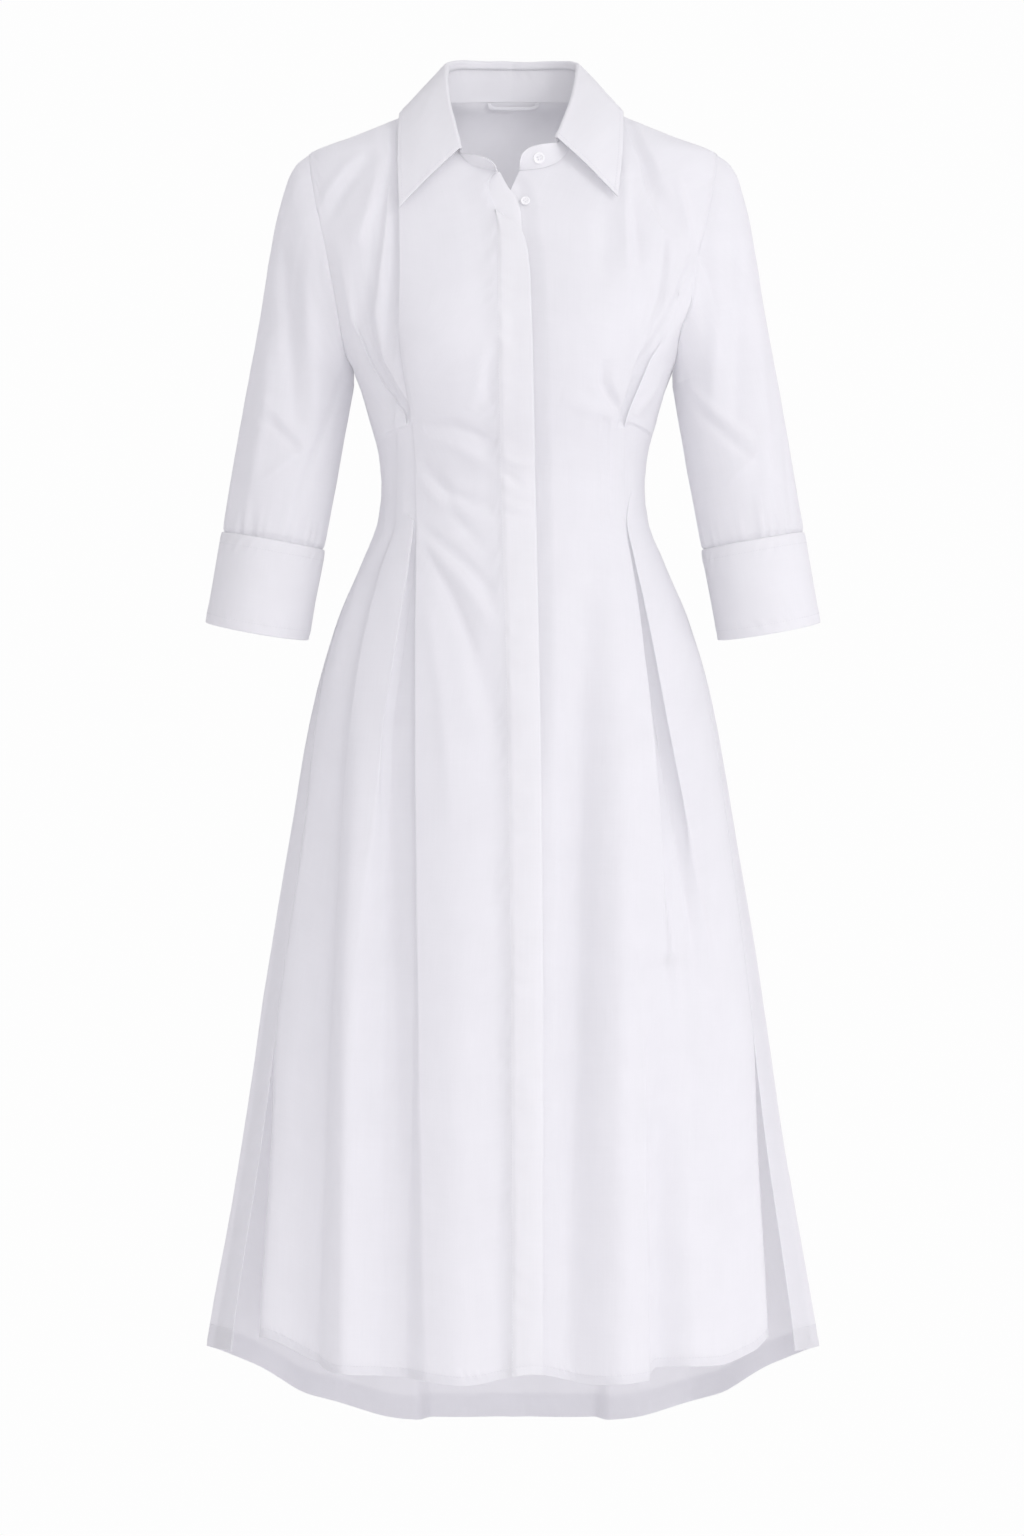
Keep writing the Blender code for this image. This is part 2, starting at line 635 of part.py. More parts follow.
def turn_for(angle, height, distance):
    """The angle that a distance along the level section takes up at this place."""
    step = 0.01
    run = (body_point(angle + step, height) - body_point(angle - step, height)).length / (2 * step)
    return distance / max(run, 0.02)


def bodice_and_skirt(name, rows, collection):
    """A panel as two walls, which meet at the waist's end."""
    cloth_wall("skirt_" + name, rows[: len(SKIRT_SHARES)], CLOTH, collection)
    cloth_wall(name, rows[len(SKIRT_SHARES) :], CLOTH, collection)


# ---------------------------------------------------------------- fronts
def front_rows(side, edge_table):
    """The two ends of each row of a front, and the row's skirt share above the hem."""
    heights = [skirt_height(share, 0.0) for share in SKIRT_SHARES]
    heights += WAIST_HEIGHTS + CENTRE_HEIGHTS
    starts = [(angle_at(smooth(edge_table, height, 1), height), height) for height in heights]
    starts += [neck_front(side, run) for run in neck_runs(side)]
    ends = [(side * angle, height) for angle, height in side_ends(side, 1)]
    shares = SKIRT_SHARES + (None,) * (len(ends) - len(SKIRT_SHARES))
    return list(zip(starts, ends, shares))


def row_place(row, t):
    (first_angle, first_height), (last_angle, last_height), share = row
    angle = mix(first_angle, last_angle, t)
    if share is not None:
        return angle, skirt_height(share, angle)
    return angle, mix(first_height, last_height, t)


def crossing(row, side, reach):
    """Where along a row its distance from the centre passes reach(height), from 0 to 1."""
    low, high = 0.0, 1.0
    for _ in range(20):
        t = (low + high) / 2
        angle, height = row_place(row, t)
        if side * body_point(angle, height).x < reach(height):
            low = t
        else:
            high = t
    return t


def pleat_stops(row, side, pleat):
    """Where a row crosses a pleat's edge, the foot of its near wall, its floor's end and top."""
    found = []
    for columns in ((1,), (1, 3), (1, 2, 3), (1, 2, 3, 4)):
        found.append(crossing(row, side, lambda h: sum(smooth(pleat, h, c) for c in columns)))
    return [min(t, PLEAT_LIMIT[0] + PLEAT_LIMIT[1] * i) for i, t in enumerate(found)]


def front_panel(name, side, edge_table, pleat, lift, collection):
    rows = front_rows(side, edge_table)
    made = []
    for row in rows:
        past_fly = crossing(row, side, lambda h: fly_reach(h) if side > 0 else LAP_RAMP)
        past_fly = min(max(past_fly, FLY_COLUMN[0]), FLY_COLUMN[1])
        stops = [0.0, past_fly] + pleat_stops(row, side, pleat) + [1.0]
        points = []
        for t in spread(stops, FRONT_COLUMNS):
            angle, height = row_place(row, t)
            if row is rows[-1] or t == 1.0:
                angle -= side * turn_for(angle, height, SEAM_SPREAD / 2)
            elif t == 0.0:
                angle += side * turn_for(angle, height, SEAM_GAP / 2)
            points.append(cloth_point(angle, height, lift(angle, height)))
        made.append(points if side > 0 else points[::-1])
    bodice_and_skirt(name, made, collection)


def centre_strip(name, low_edge, low_shift, high_edge, top_heights, lift, collection):
    """A strip up the centre front between two edges, on the fronts' own rows."""
    places = [(share, skirt_height(share, 0.0)) for share in SKIRT_SHARES]
    shared = [height for height in CENTRE_HEIGHTS if height < top_heights[0]]
    places += [(None, height) for height in WAIST_HEIGHTS + tuple(shared) + top_heights]
    rows = []
    for share, level in places:
        low, high = smooth(low_edge, level, 1) + low_shift, smooth(high_edge, level, 1)
        row = []
        for t in (0.0, 0.5, 1.0):
            angle = angle_at(mix(low, high, t), level)
            height = level if share is None else skirt_height(share, angle)
            row.append(cloth_point(angle, height, lift(angle, height)))
        rows.append(row)
    return cloth_wall(name, rows, CLOTH, collection)


# ---------------------------------------------------------------- back
def back_half_rows():
    """Rows of half the back as angles and heights, from the centre to the wearer's left."""
    ends = side_ends(1, 2)
    yoke = len(ends) - len(NECK_RUNS) - 2  # rows above this one bend up into the shoulders
    heights = [height for _, height in ends[: len(SKIRT_SHARES)]]
    heights += WAIST_HEIGHTS + CENTRE_HEIGHTS
    last = sum(BACK_COLUMNS)
    rows = []
    for r, (side, side_height) in enumerate(ends):
        share = SKIRT_SHARES[r] if r < len(SKIRT_SHARES) else None
        row = ((math.pi, heights[min(r, yoke)]), (side, side_height), share)
        stops = spread([0.0] + pleat_stops(row, 1, BACK_PLEAT) + [1.0], BACK_COLUMNS)
        if r <= yoke:
            rows.append([row_place(row, t) for t in stops])
            chest, chest_height = rows[-1], side_height
            continue
        rise = (r - yoke) / (len(ends) - 1 - yoke)
        made = []
        for c, t in enumerate(stops):
            on_neck = min(c / BACK_NECK_COLUMNS, 1.0)
            on_shoulder = max(c - BACK_NECK_COLUMNS, 0) / (last - BACK_NECK_COLUMNS)
            top = neck_back(1 - on_neck)[1] if c <= BACK_NECK_COLUMNS else None
            if top is None:
                top = mix(NECK_FRONT[-1][2], SHOULDER_TIP, on_shoulder)
            height = mix(chest[c][1], top, rise)
            height += (side_height - mix(chest_height, SHOULDER_TIP, rise)) * t * t
            made.append((mix(math.pi, side, mix(t, on_neck, rise)), height))
        rows.append(made)
    return rows


def back_panel(collection):
    halves = back_half_rows()
    last = sum(BACK_COLUMNS)
    rows = []
    for r, half in enumerate(halves):
        around = [(c, 1) for c in range(last, -1, -1)] + [(c, -1) for c in range(1, last + 1)]
        points = []
        for c, side in around:
            angle, height = half[c]
            if c == last or (half is halves[-1] and c >= BACK_NECK_COLUMNS):
                angle += turn_for(angle, height, SEAM_SPREAD / 2)
            if r < len(SKIRT_SHARES):
                height = skirt_height(SKIRT_SHARES[r], side * angle)
            points.append(cloth_point(side * angle, height))
        rows.append(points)
    bodice_and_skirt("back", rows, collection)


# ---------------------------------------------------------------- sleeves and cuffs
def arm_frame(side):
    """The sleeve's root, and its axis, outward and forward directions."""
    axis = Vector((side * math.sin(ARM_LEAN), -ARM_FORWARD, -math.cos(ARM_LEAN))).normalized()
    forward = (Vector((0, -1, 0)) - axis * axis.dot(Vector((0, -1, 0)))).normalized()
    outward = axis.cross(forward) * side
    if outward.x * side < 0:
        outward = -outward
    return Vector((side * ARM_ROOT.x, ARM_ROOT.y, ARM_ROOT.z)), axis, outward, forward


def arm_turns():
    """Steps round the whole arm: underarm, front, shoulder, back. (step, 1 front or -1 back)"""
    return [(s, 1) for s in ARM_STEPS] + [(s, -1) for s in ARM_STEPS[-2:0:-1]]


def arm_ring(side, down, half_width, half_depth):
    root, axis, outward, forward = arm_frame(side)
    points = []
    for step, facing in arm_turns():
        turn = math.pi * step
        across = -outward * math.cos(turn) * half_width
        points.append(root + axis * down + across + forward * facing * math.sin(turn) * half_depth)
    return points


def armhole_ring(side):
    """The sleeve's top edge, just inside the armhole of the panels."""
    points = []
    for step, facing in arm_turns():
        angle, height = armhole_angle(step, 1 if facing > 0 else 2), armhole_height(step)
        edge = cloth_point(side * angle, height)
        normal = body_normal(side * angle, height)
        inwards = ARMHOLE_CENTRE.copy()
        inwards.x *= side
        inwards -= edge
        inwards = (inwards - normal * inwards.dot(normal)).normalized()
        low = 1 - ease(step / 0.3)
        points.append(edge + inwards * mix(SEAM_SPREAD, SEAM_GAP * 2, low) + normal * 0.0006 * low)
    return points


def sleeve(name, side, collection):
    top, first = armhole_ring(side), arm_ring(side, *SLEEVE_RINGS[0])
    outward = arm_frame(side)[2]
    rows = []
    for share, bulge in CAP_RINGS:
        row = []
        for (step, _), high, low in zip(arm_turns(), top, first):
            over = ((1 - math.cos(math.pi * step)) / 2) ** 1.5
            row.append(high.lerp(low, share) + outward * bulge * over)
        rows.append(row)
    rows += [arm_ring(side, *ring) for ring in SLEEVE_RINGS]
    return tube(name, side, rows, CLOTH, collection)


def cuff(name, side, collection):
    rows = [arm_ring(side, CUFF_TOP + share * CUFF_DEPTH, w, d) for share, w, d in CUFF_RINGS]
    return tube(name, side, rows, CUFF_CLOTH, collection)


def tube(name, side, rows, thickness, collection):
    rows = rows[::-1]
    if side < 0:
        rows = [row[::-1] for row in rows]
    return cloth_wall(name, rows, thickness, collection, around=True)


# ---------------------------------------------------------------- collar
def chain_lengths(points):
    """The way along a chain of points to each of them."""
    lengths = [0.0]
    for first, last in zip(points, points[1:]):
        lengths.append(lengths[-1] + (last - first).length)
    return lengths


def resample(points, shares):
    """Points at shares of the way along a chain of points."""
    lengths = chain_lengths(points)
    found = []
    for share in shares:
        want = share * lengths[-1]
        at = next((i for i in range(len(lengths) - 2) if lengths[i + 1] > want), len(lengths) - 2)
        t = (want - lengths[at]) / (lengths[at + 1] - lengths[at])
        found.append(points[at].lerp(points[at + 1], t))
    return found


def collar_place(table, side, run, column):
    """A point of a collar table on one side, with the open collar's skew."""
    x, y, z = (smooth(table, run, column + i) for i in range(3))
    lean = min(run, 1.0) ** 2
    return Vector((side * x + COLLAR_SKEW * lean, y, z + side * COLLAR_DROP * lean * lean))


def neck_edge(side):
    """The neckline on one side, from the centre back to the stand's front end."""
    steps = [c / BACK_NECK_COLUMNS for c in range(BACK_NECK_COLUMNS)]
    places = [neck_back(1 - t) for t in steps]
    places = [(side * angle, height) for angle, height in places]
    places += [neck_front(side, run) for run in reversed(neck_runs(side))]
    lift = lap_lift if side > 0 else (lambda angle, height: 0.0)
    return [cloth_point(a, h, lift(a, h)) + Vector((0, 0, SEAM_SPREAD)) for a, h in places]


def roll_frame(side, run):
    """The collar's roll with its outward and upward directions, square to the roll line."""
    roll, edge = collar_place(COLLAR, side, run, 1), collar_place(COLLAR, side, run, 4)
    before = collar_place(COLLAR, side, max(run - 0.03, 0.0), 1)
    after = collar_place(COLLAR, side, min(run + 0.03, 1.0), 1)
    line = (after - before).normalized()
    up = Vector((0, 0, 1))
    up = (up - line * up.dot(line)).normalized()
    fall = edge - roll
    out = (fall - line * fall.dot(line) - up * fall.dot(up)).normalized()
    return roll, out, up


def stand_half(side):
    """The stand's lower and upper edges on one side, from the centre back to its end."""
    low = neck_edge(side)
    high = []
    for i in range(LEAF_STEPS + 1):
        roll, _, up = roll_frame(side, i / LEAF_STEPS)
        high.append(roll - up * mix(*ROLL_RISE, i / LEAF_STEPS))
    runs = spread((1.1, 1.2, 1.28, 1.32), (2, 2, 2))
    high += [collar_place(STAND_END_TOP, side, run, 1) for run in runs]
    lengths = chain_lengths(low)
    return low, resample(high, [length / lengths[-1] for length in lengths])


def stand_point(side, along, up):
    low, high = stand_half(side)
    return resample(low, [along])[0].lerp(resample(high, [along])[0], up)


def collar_stand(collection):
    rows = []
    for up in (1.0, 0.67, 0.33, 0.0):
        row = {}
        for side in (-1, 1):
            low, high = stand_half(side)
            for i, (first, last) in enumerate(zip(low, high)):
                row[side * i] = first.lerp(last, up)
        rows.append([row[i] for i in sorted(row)])
    return cloth_wall("collar_stand", rows, COLLAR_CLOTH, collection)


def leaf_section(side, run):
    """A section of the leaf: up from the stand, over the roll and down to the edge."""
    roll, out, up = roll_frame(side, run)
    edge = collar_place(COLLAR, side, run, 4)
    start = -COLLAR_CLOTH
    centre = roll + out * (start + ROLL_RADIUS) - up * ROLL_RADIUS
    points = [roll + out * start - up * (mix(*ROLL_RISE, run) - mix(*LEAF_CLEAR, run))]
    fall = edge - roll
    last = math.atan2(fall.dot(out), -fall.dot(up))
    for i in range(5):
        turn = mix(math.pi, last, i / 4)
        points.append(centre + (out * math.cos(turn) + up * math.sin(turn)) * ROLL_RADIUS)
    crown = (out + up).normalized()
    leave = points[-1]
    for share in (0.2, 0.45, 0.72, 1.0):
        points.append(leave.lerp(edge, share) + crown * 0.002 * math.sin(math.pi * share))
    return points


def collar_leaf(collection):
    sections = [leaf_section(-1, run / LEAF_STEPS) for run in range(LEAF_STEPS, 0, -1)]
    sections += [leaf_section(1, run / LEAF_STEPS) for run in range(LEAF_STEPS + 1)]
    rows = [list(row) for row in zip(*sections)]
    return cloth_wall("collar_leaf", rows, COLLAR_CLOTH, collection)


# ---------------------------------------------------------------- buttons and loop
def button(name, place, normal, scale, collection):
    """A turned button that lies on the cloth at place."""
    mesh = bpy.data.meshes.new(name)
    points = [Vector((radius * scale, 0, height * scale)) for radius, height in BUTTON_PROFILE]
    mesh.from_pydata(points, [(i, i + 1) for i in range(len(points) - 1)], [])
    mesh.materials.append(finish(name, WHITE_BUTTON, 0.35))
    made = bpy.data.objects.new(name, mesh)
    collection.objects.link(made)
    made.location = place + normal * 2 * SEAM_GAP
    made.rotation_euler = normal.to_track_quat("Z", "Y").to_euler()
    turn = made.modifiers.new("turn", "SCREW")
    turn.steps = turn.render_steps = 20
    turn.use_merge_vertices = True
    turn.merge_threshold = 0.00001
    turn.use_smooth_shade = True
    return made


def hanger_loop(collection):
    """A tape caught in the seam at the back of the neck, inside."""
    rows = []
    for i, (across, height) in enumerate(HANGER_LOOP):
        before, after = HANGER_LOOP[max(i - 1, 0)], HANGER_LOOP[min(i + 1, len(HANGER_LOOP) - 1)]
        run = Vector((after[0] - before[0], 0, after[1] - before[1])).normalized()
        side = Vector((-run.z, 0, run.x)) * TAPE_WIDTH / 2
        row = []
        for sign in (1, -1):
            point = Vector((across, 0, height)) + side * sign
            inner = cloth_point(math.pi - angle_at(point.x, point.z), point.z, -CLOTH)
            point.y = inner.y - LOOP_CLEAR - TAPE_THICK
            row.append(point)
        rows.append(row)
    return cloth_wall("hanger_loop", rows, TAPE_THICK, collection)


def main():
    clear_scene()
    dress = bpy.data.collections.new("shirt_dress")
    bpy.context.scene.collection.children.link(dress)

    front_panel("front_right", -1, RIGHT_FRONT_EDGE, RIGHT_SHOULDER_PLEAT, fly_lift, dress)
    front_panel("front_left", 1, LEFT_FRONT_EDGE, LEFT_WAIST_PLEAT, lap_lift, dress)
    back_panel(dress)
    centre_strip("placket", RIGHT_FRONT_EDGE, SEAM_GAP, PLACKET_EDGE, PLACKET_TOP,
                 lambda a, h: fly_lift(a, h) + PLACKET_LIFT, dress)
    centre_strip("buttonhole_band", RIGHT_FRONT_EDGE, -BAND_UNDER, BAND_EDGE, BAND_TOP,
                 lambda a, h: BAND_LIFT, dress)
    for name, side in (("right", -1), ("left", 1)):
        sleeve("sleeve_" + name, side, dress)
        cuff("cuff_" + name, side, dress)
    collar_stand(dress)
    collar_leaf(dress)

    place = stand_point(1, *COLLAR_BUTTON)
    along = stand_point(1, COLLAR_BUTTON[0] + 0.02, COLLAR_BUTTON[1]) - place
    up = stand_point(1, COLLAR_BUTTON[0], COLLAR_BUTTON[1] + 0.1) - place
    button("collar_button", place, along.cross(up).normalized() * -1, 1.0, dress)
    angle, height = angle_at(*FRONT_BUTTON), FRONT_BUTTON[1]
    place = cloth_point(angle, height, lap_lift(angle, height))
    button("front_button", place, body_normal(angle, height), 0.8, dress)
    hanger_loop(dress)


if __name__ == "__main__":
    main()
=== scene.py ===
"""The looks of a collared shirt dress in white cotton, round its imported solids.

Each sewn piece is a thin sheet on its solid's form, with the folds, seams, turned hems and
sewing of the real garment. Lengths are in metres. +Z is up, -Y is the front, +X is the
wearer's left, and the origin lies between the shoulders, where the dress hangs.
"""

import json
import math

import bpy
import numpy as np
from mathutils import Matrix, Vector


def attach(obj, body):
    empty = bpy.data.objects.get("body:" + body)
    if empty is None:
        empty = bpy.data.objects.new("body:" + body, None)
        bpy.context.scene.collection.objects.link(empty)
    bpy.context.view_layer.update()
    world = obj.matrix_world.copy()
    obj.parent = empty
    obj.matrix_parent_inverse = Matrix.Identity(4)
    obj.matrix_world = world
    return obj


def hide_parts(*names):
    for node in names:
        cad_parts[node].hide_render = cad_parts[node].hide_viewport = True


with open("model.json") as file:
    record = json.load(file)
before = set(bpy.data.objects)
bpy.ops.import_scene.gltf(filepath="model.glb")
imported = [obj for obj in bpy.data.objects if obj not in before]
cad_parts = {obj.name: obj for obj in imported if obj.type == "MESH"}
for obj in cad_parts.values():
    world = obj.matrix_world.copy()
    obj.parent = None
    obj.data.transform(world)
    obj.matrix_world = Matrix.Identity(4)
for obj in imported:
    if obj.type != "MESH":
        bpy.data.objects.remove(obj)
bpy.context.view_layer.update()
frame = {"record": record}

bl_info = {
    "name": "Shirt Dress Looks",
    "version": (1, 0, 0),
    "blender": (4, 5, 0),
    "location": "3D View > Sidebar > Shirt Dress",
    "description": "Cloth, sewing and buttons of a white cotton shirt dress",
    "category": "Object",
}


def metres(rows, plain=()):
    """Rows of lengths in tenths of a millimetre, as metres; plain columns stay as they are."""
    return tuple(tuple(value if column in plain else value / 10000
                       for column, value in enumerate(row)) for row in rows)


# ---------------------------------------------------------------- sizes of the dress
UNDERARM = -0.25  # height of the armhole's lowest point
SHOULDER_TIP = -0.047  # height of the armhole's highest point
WAIST_TOP = -0.305  # the tucks are sewn flat from here
WAIST_END = -0.395  # down to here, and open below
SLIT_TOP = -0.87  # the side seams are open below this
SHOULDER_SEAM = math.radians(84.0)  # just in front of the shoulder's ridge
ARM_LEAN = math.radians(10.0)  # the sleeves lean out
ARM_FORWARD = 0.05  # and forward, by this share of the way down
ARM_ROOT = Vector((0.198, 0.0, -0.256))  # the left sleeve's axis at the underarm
CUFF_TOP = 0.1575  # from the underarm down the sleeve's axis
CUFF_DEPTH = 0.0842
COLLAR_CLOTH = 0.0014
LEFT = 1
RIGHT = -1
SIDE_NAMES = {LEFT: "left", RIGHT: "right"}
NECK_BACK_RISE = 0.007  # the centre back neckline is this far above the neck point
BAND_LIFT = -0.0017  # the buttonhole band lies behind the right front
BAND_UNDER = 0.012  # and runs this far under it
LAP_LIFT = -0.0034  # the left front passes behind both
LAP_RAMP = 0.016  # and comes back to the body form over this width
CURL = {"height": -0.088, "tall": 0.014, "wide": 0.016, "lift": 0.004}
STAND_ENDS = {RIGHT: 0.0139, LEFT: 0.0055}  # where each end meets the neckline, from the centre
COLLAR_SKEW = -0.0043  # the open collar lies this far to the wearer's right in front
COLLAR_DROP = 0.005  # and its right point hangs lower than its left by twice this
ROLL_RISE = (0.007, 0.0073)  # the leaf rises this far before it turns over, behind and in front
ROLL_RADIUS = 0.0026
LEAF_LAP = 0.0012  # the leaf starts this far below the stand's upper edge, inside it
CUFF_HANG = (0.003, 0.0062)  # a cuff's upper and lower edge hang this much lower in front
COLLAR_BUTTON = (0.91, 0.45)  # share of the way round the stand's left half, share of its height
FRONT_BUTTON = (0.0112, -0.0985)  # across, height of the button in the open neck
FOLD_ROLL = 0.0007  # radius of a pressed fold
FOLD_UNDER = 0.0028  # how far the cloth runs back under it
ROLL_TURNS = (144, 108, 72, 36)  # degrees round the roll of a turned edge
SHOULDER_FADE = 0.2  # folds die away over this much of the angle's cosine
FLY_SPARE = 0.0015  # the left front dips this far beyond the fly's layers
BAND_AHEAD = 0.01  # the band's reach is taken this far below, so that it leads its curve
PLACKET_LIFT = 0.0017  # the fly's outer layer rises this far over the right front's edge
PLACKET_RISE = 0.16  # within this share of its width
PLACKET_FALL = 0.0007  # and falls this far towards its free edge
SEAM_DRAW = (0.0005, 0.0015)  # how deep a seam is drawn in, over what width
EDGE_CALM = 0.0035  # puckers and ripples die away this close to an edge
SIDE_CROWD = 1.12  # columns crowd towards the side seam by this power
STOP_GAP = 0.004  # least share of a row between two stops
ARM_ROUND = 0.049  # the sleeve's radius, which turns its angle into a width of cloth
ARMHOLE_CALM = 0.014  # a sleeve's creases start this far below the armhole
# Gathers above a cuff: level on the sleeve's axis, reach above and under it, depth, pitch.
GATHERS = {"level": 0.1535, "reach": 0.016, "under": 0.006, "depth": 0.001, "pitch": 0.0125}
HOLE_DEPTH = 0.001  # of a button's sewing holes
BUTTON_TOP = 0.62  # share of a button's profile that is its upper face
BUTTON_GAP = 0.0006  # from the cloth to a button's back
STRANDS = (-0.22, 0.0, 0.22)  # strands of a button's thread, across it in millimetres
STRAND_RADIUS = 0.16

# Rows of stitches, as distances from the edge they follow.
HEM_STITCH = 0.0078
FACING_STITCH = 0.02
CUFF_HIGH_STITCH = 0.0095
CUFF_LOW_STITCH = 0.0085
COLLAR_STITCH = 0.0047

# Each kind of cloth: its slubs, the strength of its weave, how much light comes through.
CLOTHS = {
    "white_cotton": (0.55, 0.55, 0.3),
    "white_cotton_double": (0.55, 0.55, 0.17),
    "white_cotton_interlined": (0.4, 0.45, 0.22),
}

# The stage.
FLOOR_LEVEL = -1.46
FLOOR_HALF = 13.0
BACKDROP_FAR = 12.0  # the floor bends up from here
BACKDROP_BEND = 1.5
BACKDROP_TOP = 3.2
LIGHTS = (  # name, place, size
    ("key", (2.3, -2.4, 1.7), 1.2),
    ("side", (3.6, -0.9, 0.1), 1.6),
    ("low", (0.5, -3.6, -1.2), 1.2),
)
LIGHT_TINT = (1.0, 0.985, 0.995)
LIGHT_AIM = (0.0, 0.0, -0.55)
ROOM_TINT = (0.98, 0.965, 1.0, 1.0)
CAMERA_PLACE = (-0.001, -4.5, -0.623)

# Steps round the armhole from the underarm (0) to the shoulder (1), and what the rows of a
# panel share with them: heights at the centre, then runs along the neckline.
ARM_STEPS = (0.0, 0.16, 0.24, 0.32, 0.4, 0.47, 0.54, 0.6, 0.65, 0.71, 0.77, 0.83, 0.89,
             0.95, 1.0)
CENTRE_HEIGHTS = (-0.248, -0.228, -0.206, -0.182, -0.158, -0.134, -0.114, -0.097, -0.083)
NECK_RUNS = (0.32, 0.56, 0.77, 0.92, 1.0)
CHEST_START = -0.267  # the rows start to climb to the armhole and neck above this
LAST_STEP = 0.95  # beyond this the armhole's two edges run together to the shoulder seam
PLACKET_END = -0.109  # top of the fly's outer layer
BAND_END = -0.0705  # top of the buttonhole band

# How finely the cloth is made. Rows just above a hem, as distances from it, then counts.
HEM_ROWS = (0.0, 0.0006, 0.0014, 0.0024, 0.0036, 0.005, 0.0064, 0.0074, 0.008, 0.0088,
            0.0102, 0.0124, 0.0152, 0.018, 0.02, 0.0225, 0.026)
SKIRT_ROWS = 186
WAIST_ROWS = ((-0.395, 22), (-0.321, 34), (-0.294, 9))  # from each height up, this many rows
CHEST_ROWS = 92
FRONT_COUNTS = (12, 76, 12, 24, 12, 22, 12, 58)
BACK_COUNTS = (26, 11, 10, 17, 42)
PLACKET_COLUMNS = (0.0, 0.02, 0.05, 0.09, 0.15, 0.23, 0.32, 0.42, 0.52, 0.62, 0.71, 0.79, 0.86,
                   0.91, 0.95, 0.975, 0.99, 1.0)
STAND_ROWS = (0.0, 0.015, 0.04, 0.08, 0.14, 0.22, 0.31, 0.4, 0.5, 0.6, 0.69, 0.78, 0.86, 0.92,
              0.96, 0.985, 1.0)
LEAF_HEM = (0.0066, 0.0052, 0.0042, 0.003, 0.0016, 0.0006, 0.0)  # rows, as HEM_ROWS

# All tables made with metres() give their lengths in tenths of a millimetre.

# The body form: level sections from the neck down to the hem.
# height, half_width, front_depth, back_depth, squareness (2 is an ellipse)
SECTIONS = metres((
    (300, 560, 360, 560, 2.0), (40, 680, 380, 610, 2.0), (-50, 900, 410, 650, 2.0),
    (-140, 1110, 450, 690, 2.0), (-290, 1480, 530, 760, 2.0), (-470, 1920, 610, 830, 2.0),
    (-700, 2060, 700, 900, 2.1), (-1050, 2110, 840, 970, 2.1), (-1500, 2060, 1010, 1030, 2.2),
    (-2000, 1850, 1170, 1040, 2.2), (-2500, 1500, 1260, 990, 2.3), (-2960, 1350, 1190, 890, 2.3),
    (-3340, 1255, 1060, 800, 2.3), (-3620, 1235, 1000, 770, 2.3), (-3900, 1265, 1000, 800, 2.3),
    (-4280, 1410, 1060, 900, 2.2), (-4840, 1645, 1180, 1070, 2.2), (-5590, 1860, 1300, 1240, 2.2),
    (-6720, 2070, 1420, 1380, 2.2), (-8220, 2320, 1570, 1580, 2.1),
    (-9730, 2540, 1720, 1790, 2.1), (-11610, 2870, 1900, 2040, 2.1),
    (-12800, 3030, 1980, 2160, 2.1),
), plain=(4,))

# The cups, which the pleats open out: centre across and up, half-size across and up, depth.
CUP = {"across": 0.074, "height": -0.228, "wide": 0.05, "tall": 0.062, "depth": 0.012}

# The armhole's edge seen from the front: height, distance from the centre.
ARMHOLE = metres((
    (-470, 1920), (-600, 1905), (-920, 1850), (-1350, 1755), (-1850, 1650), (-2220, 1565),
    (-2420, 1515), (-2500, 1500),
))

# The front neckline. run (0 centre, 1 shoulder seam), across, height
NECK_FRONT = metres((
    (0.0, 0, -700), (0.2, 180, -690), (0.4, 370, -640), (0.6, 500, -520), (0.76, 590, -290),
    (0.86, 625, -140), (0.93, 640, -50), (0.97, 655, 10), (1.0, 676, 40),
), plain=(0,))

# The side seam and the two edges of the slit, as shares of the section's half-width.
# height, front_edge, back_edge
SIDE_EDGES = metres((
    (-2500, 1.0, 1.0), (-4000, 1.0, 1.0), (-5000, 0.99, 0.99), (-6200, 0.972, 0.972),
    (-7500, 0.952, 0.952), (-8700, 0.934, 0.934), (-9500, 0.902, 0.928), (-10500, 0.862, 0.92),
    (-11700, 0.818, 0.909), (-12800, 0.79, 0.9),
), plain=(1, 2))

# The hem's height round the body. angle from centre front (degrees, + wearer's left), height
HEM = metres((
    (-180, -12640), (-160, -12580), (-140, -12340), (-120, -11940), (-100, -11720), (-80, -11620),
    (-64, -11600), (-54, -11440), (-42, -11600), (-32, -11715), (-20, -11730), (-8, -11790),
    (3, -11690), (14, -11790), (24, -11760), (27, -11650), (40, -11660), (50, -11560),
    (56, -11440), (64, -11600), (80, -11620), (100, -11720), (120, -11940), (140, -12340),
    (160, -12580), (180, -12640),
), plain=(0,))

# Edges of the layers at the centre front. height, distance from the centre (+ wearer's left)
# Where the right front meets the placket, curling back at the neck.
RIGHT_FRONT_EDGE = metres((
    (-690, -140), (-760, -200), (-850, -232), (-960, -212), (-1080, -165), (-1300, -150),
    (-2600, -138), (-3900, -110), (-5600, -64), (-8000, -30), (-11900, -10),
))

# The fly's free folded edge.
PLACKET_EDGE = metres((
    (-1090, -150), (-1160, -64), (-1210, 10), (-1260, 55), (-1330, 90), (-1450, 122),
    (-1720, 148), (-3000, 183), (-4700, 220), (-6600, 254), (-8400, 270), (-11900, 270),
))

# The buttonhole band's edge, which shows in the open neck.
BAND_EDGE = metres((
    (-690, -135), (-870, -37), (-930, 18), (-1010, 46), (-1100, 64), (-1300, 80), (-1700, 110),
    (-3000, 150), (-6600, 220), (-11900, 236),
))

# The left front's own edge, behind the fly.
LEFT_FRONT_EDGE = metres((
    (-710, 55), (-770, 25), (-870, -20), (-1100, -80), (-11900, -80),
))

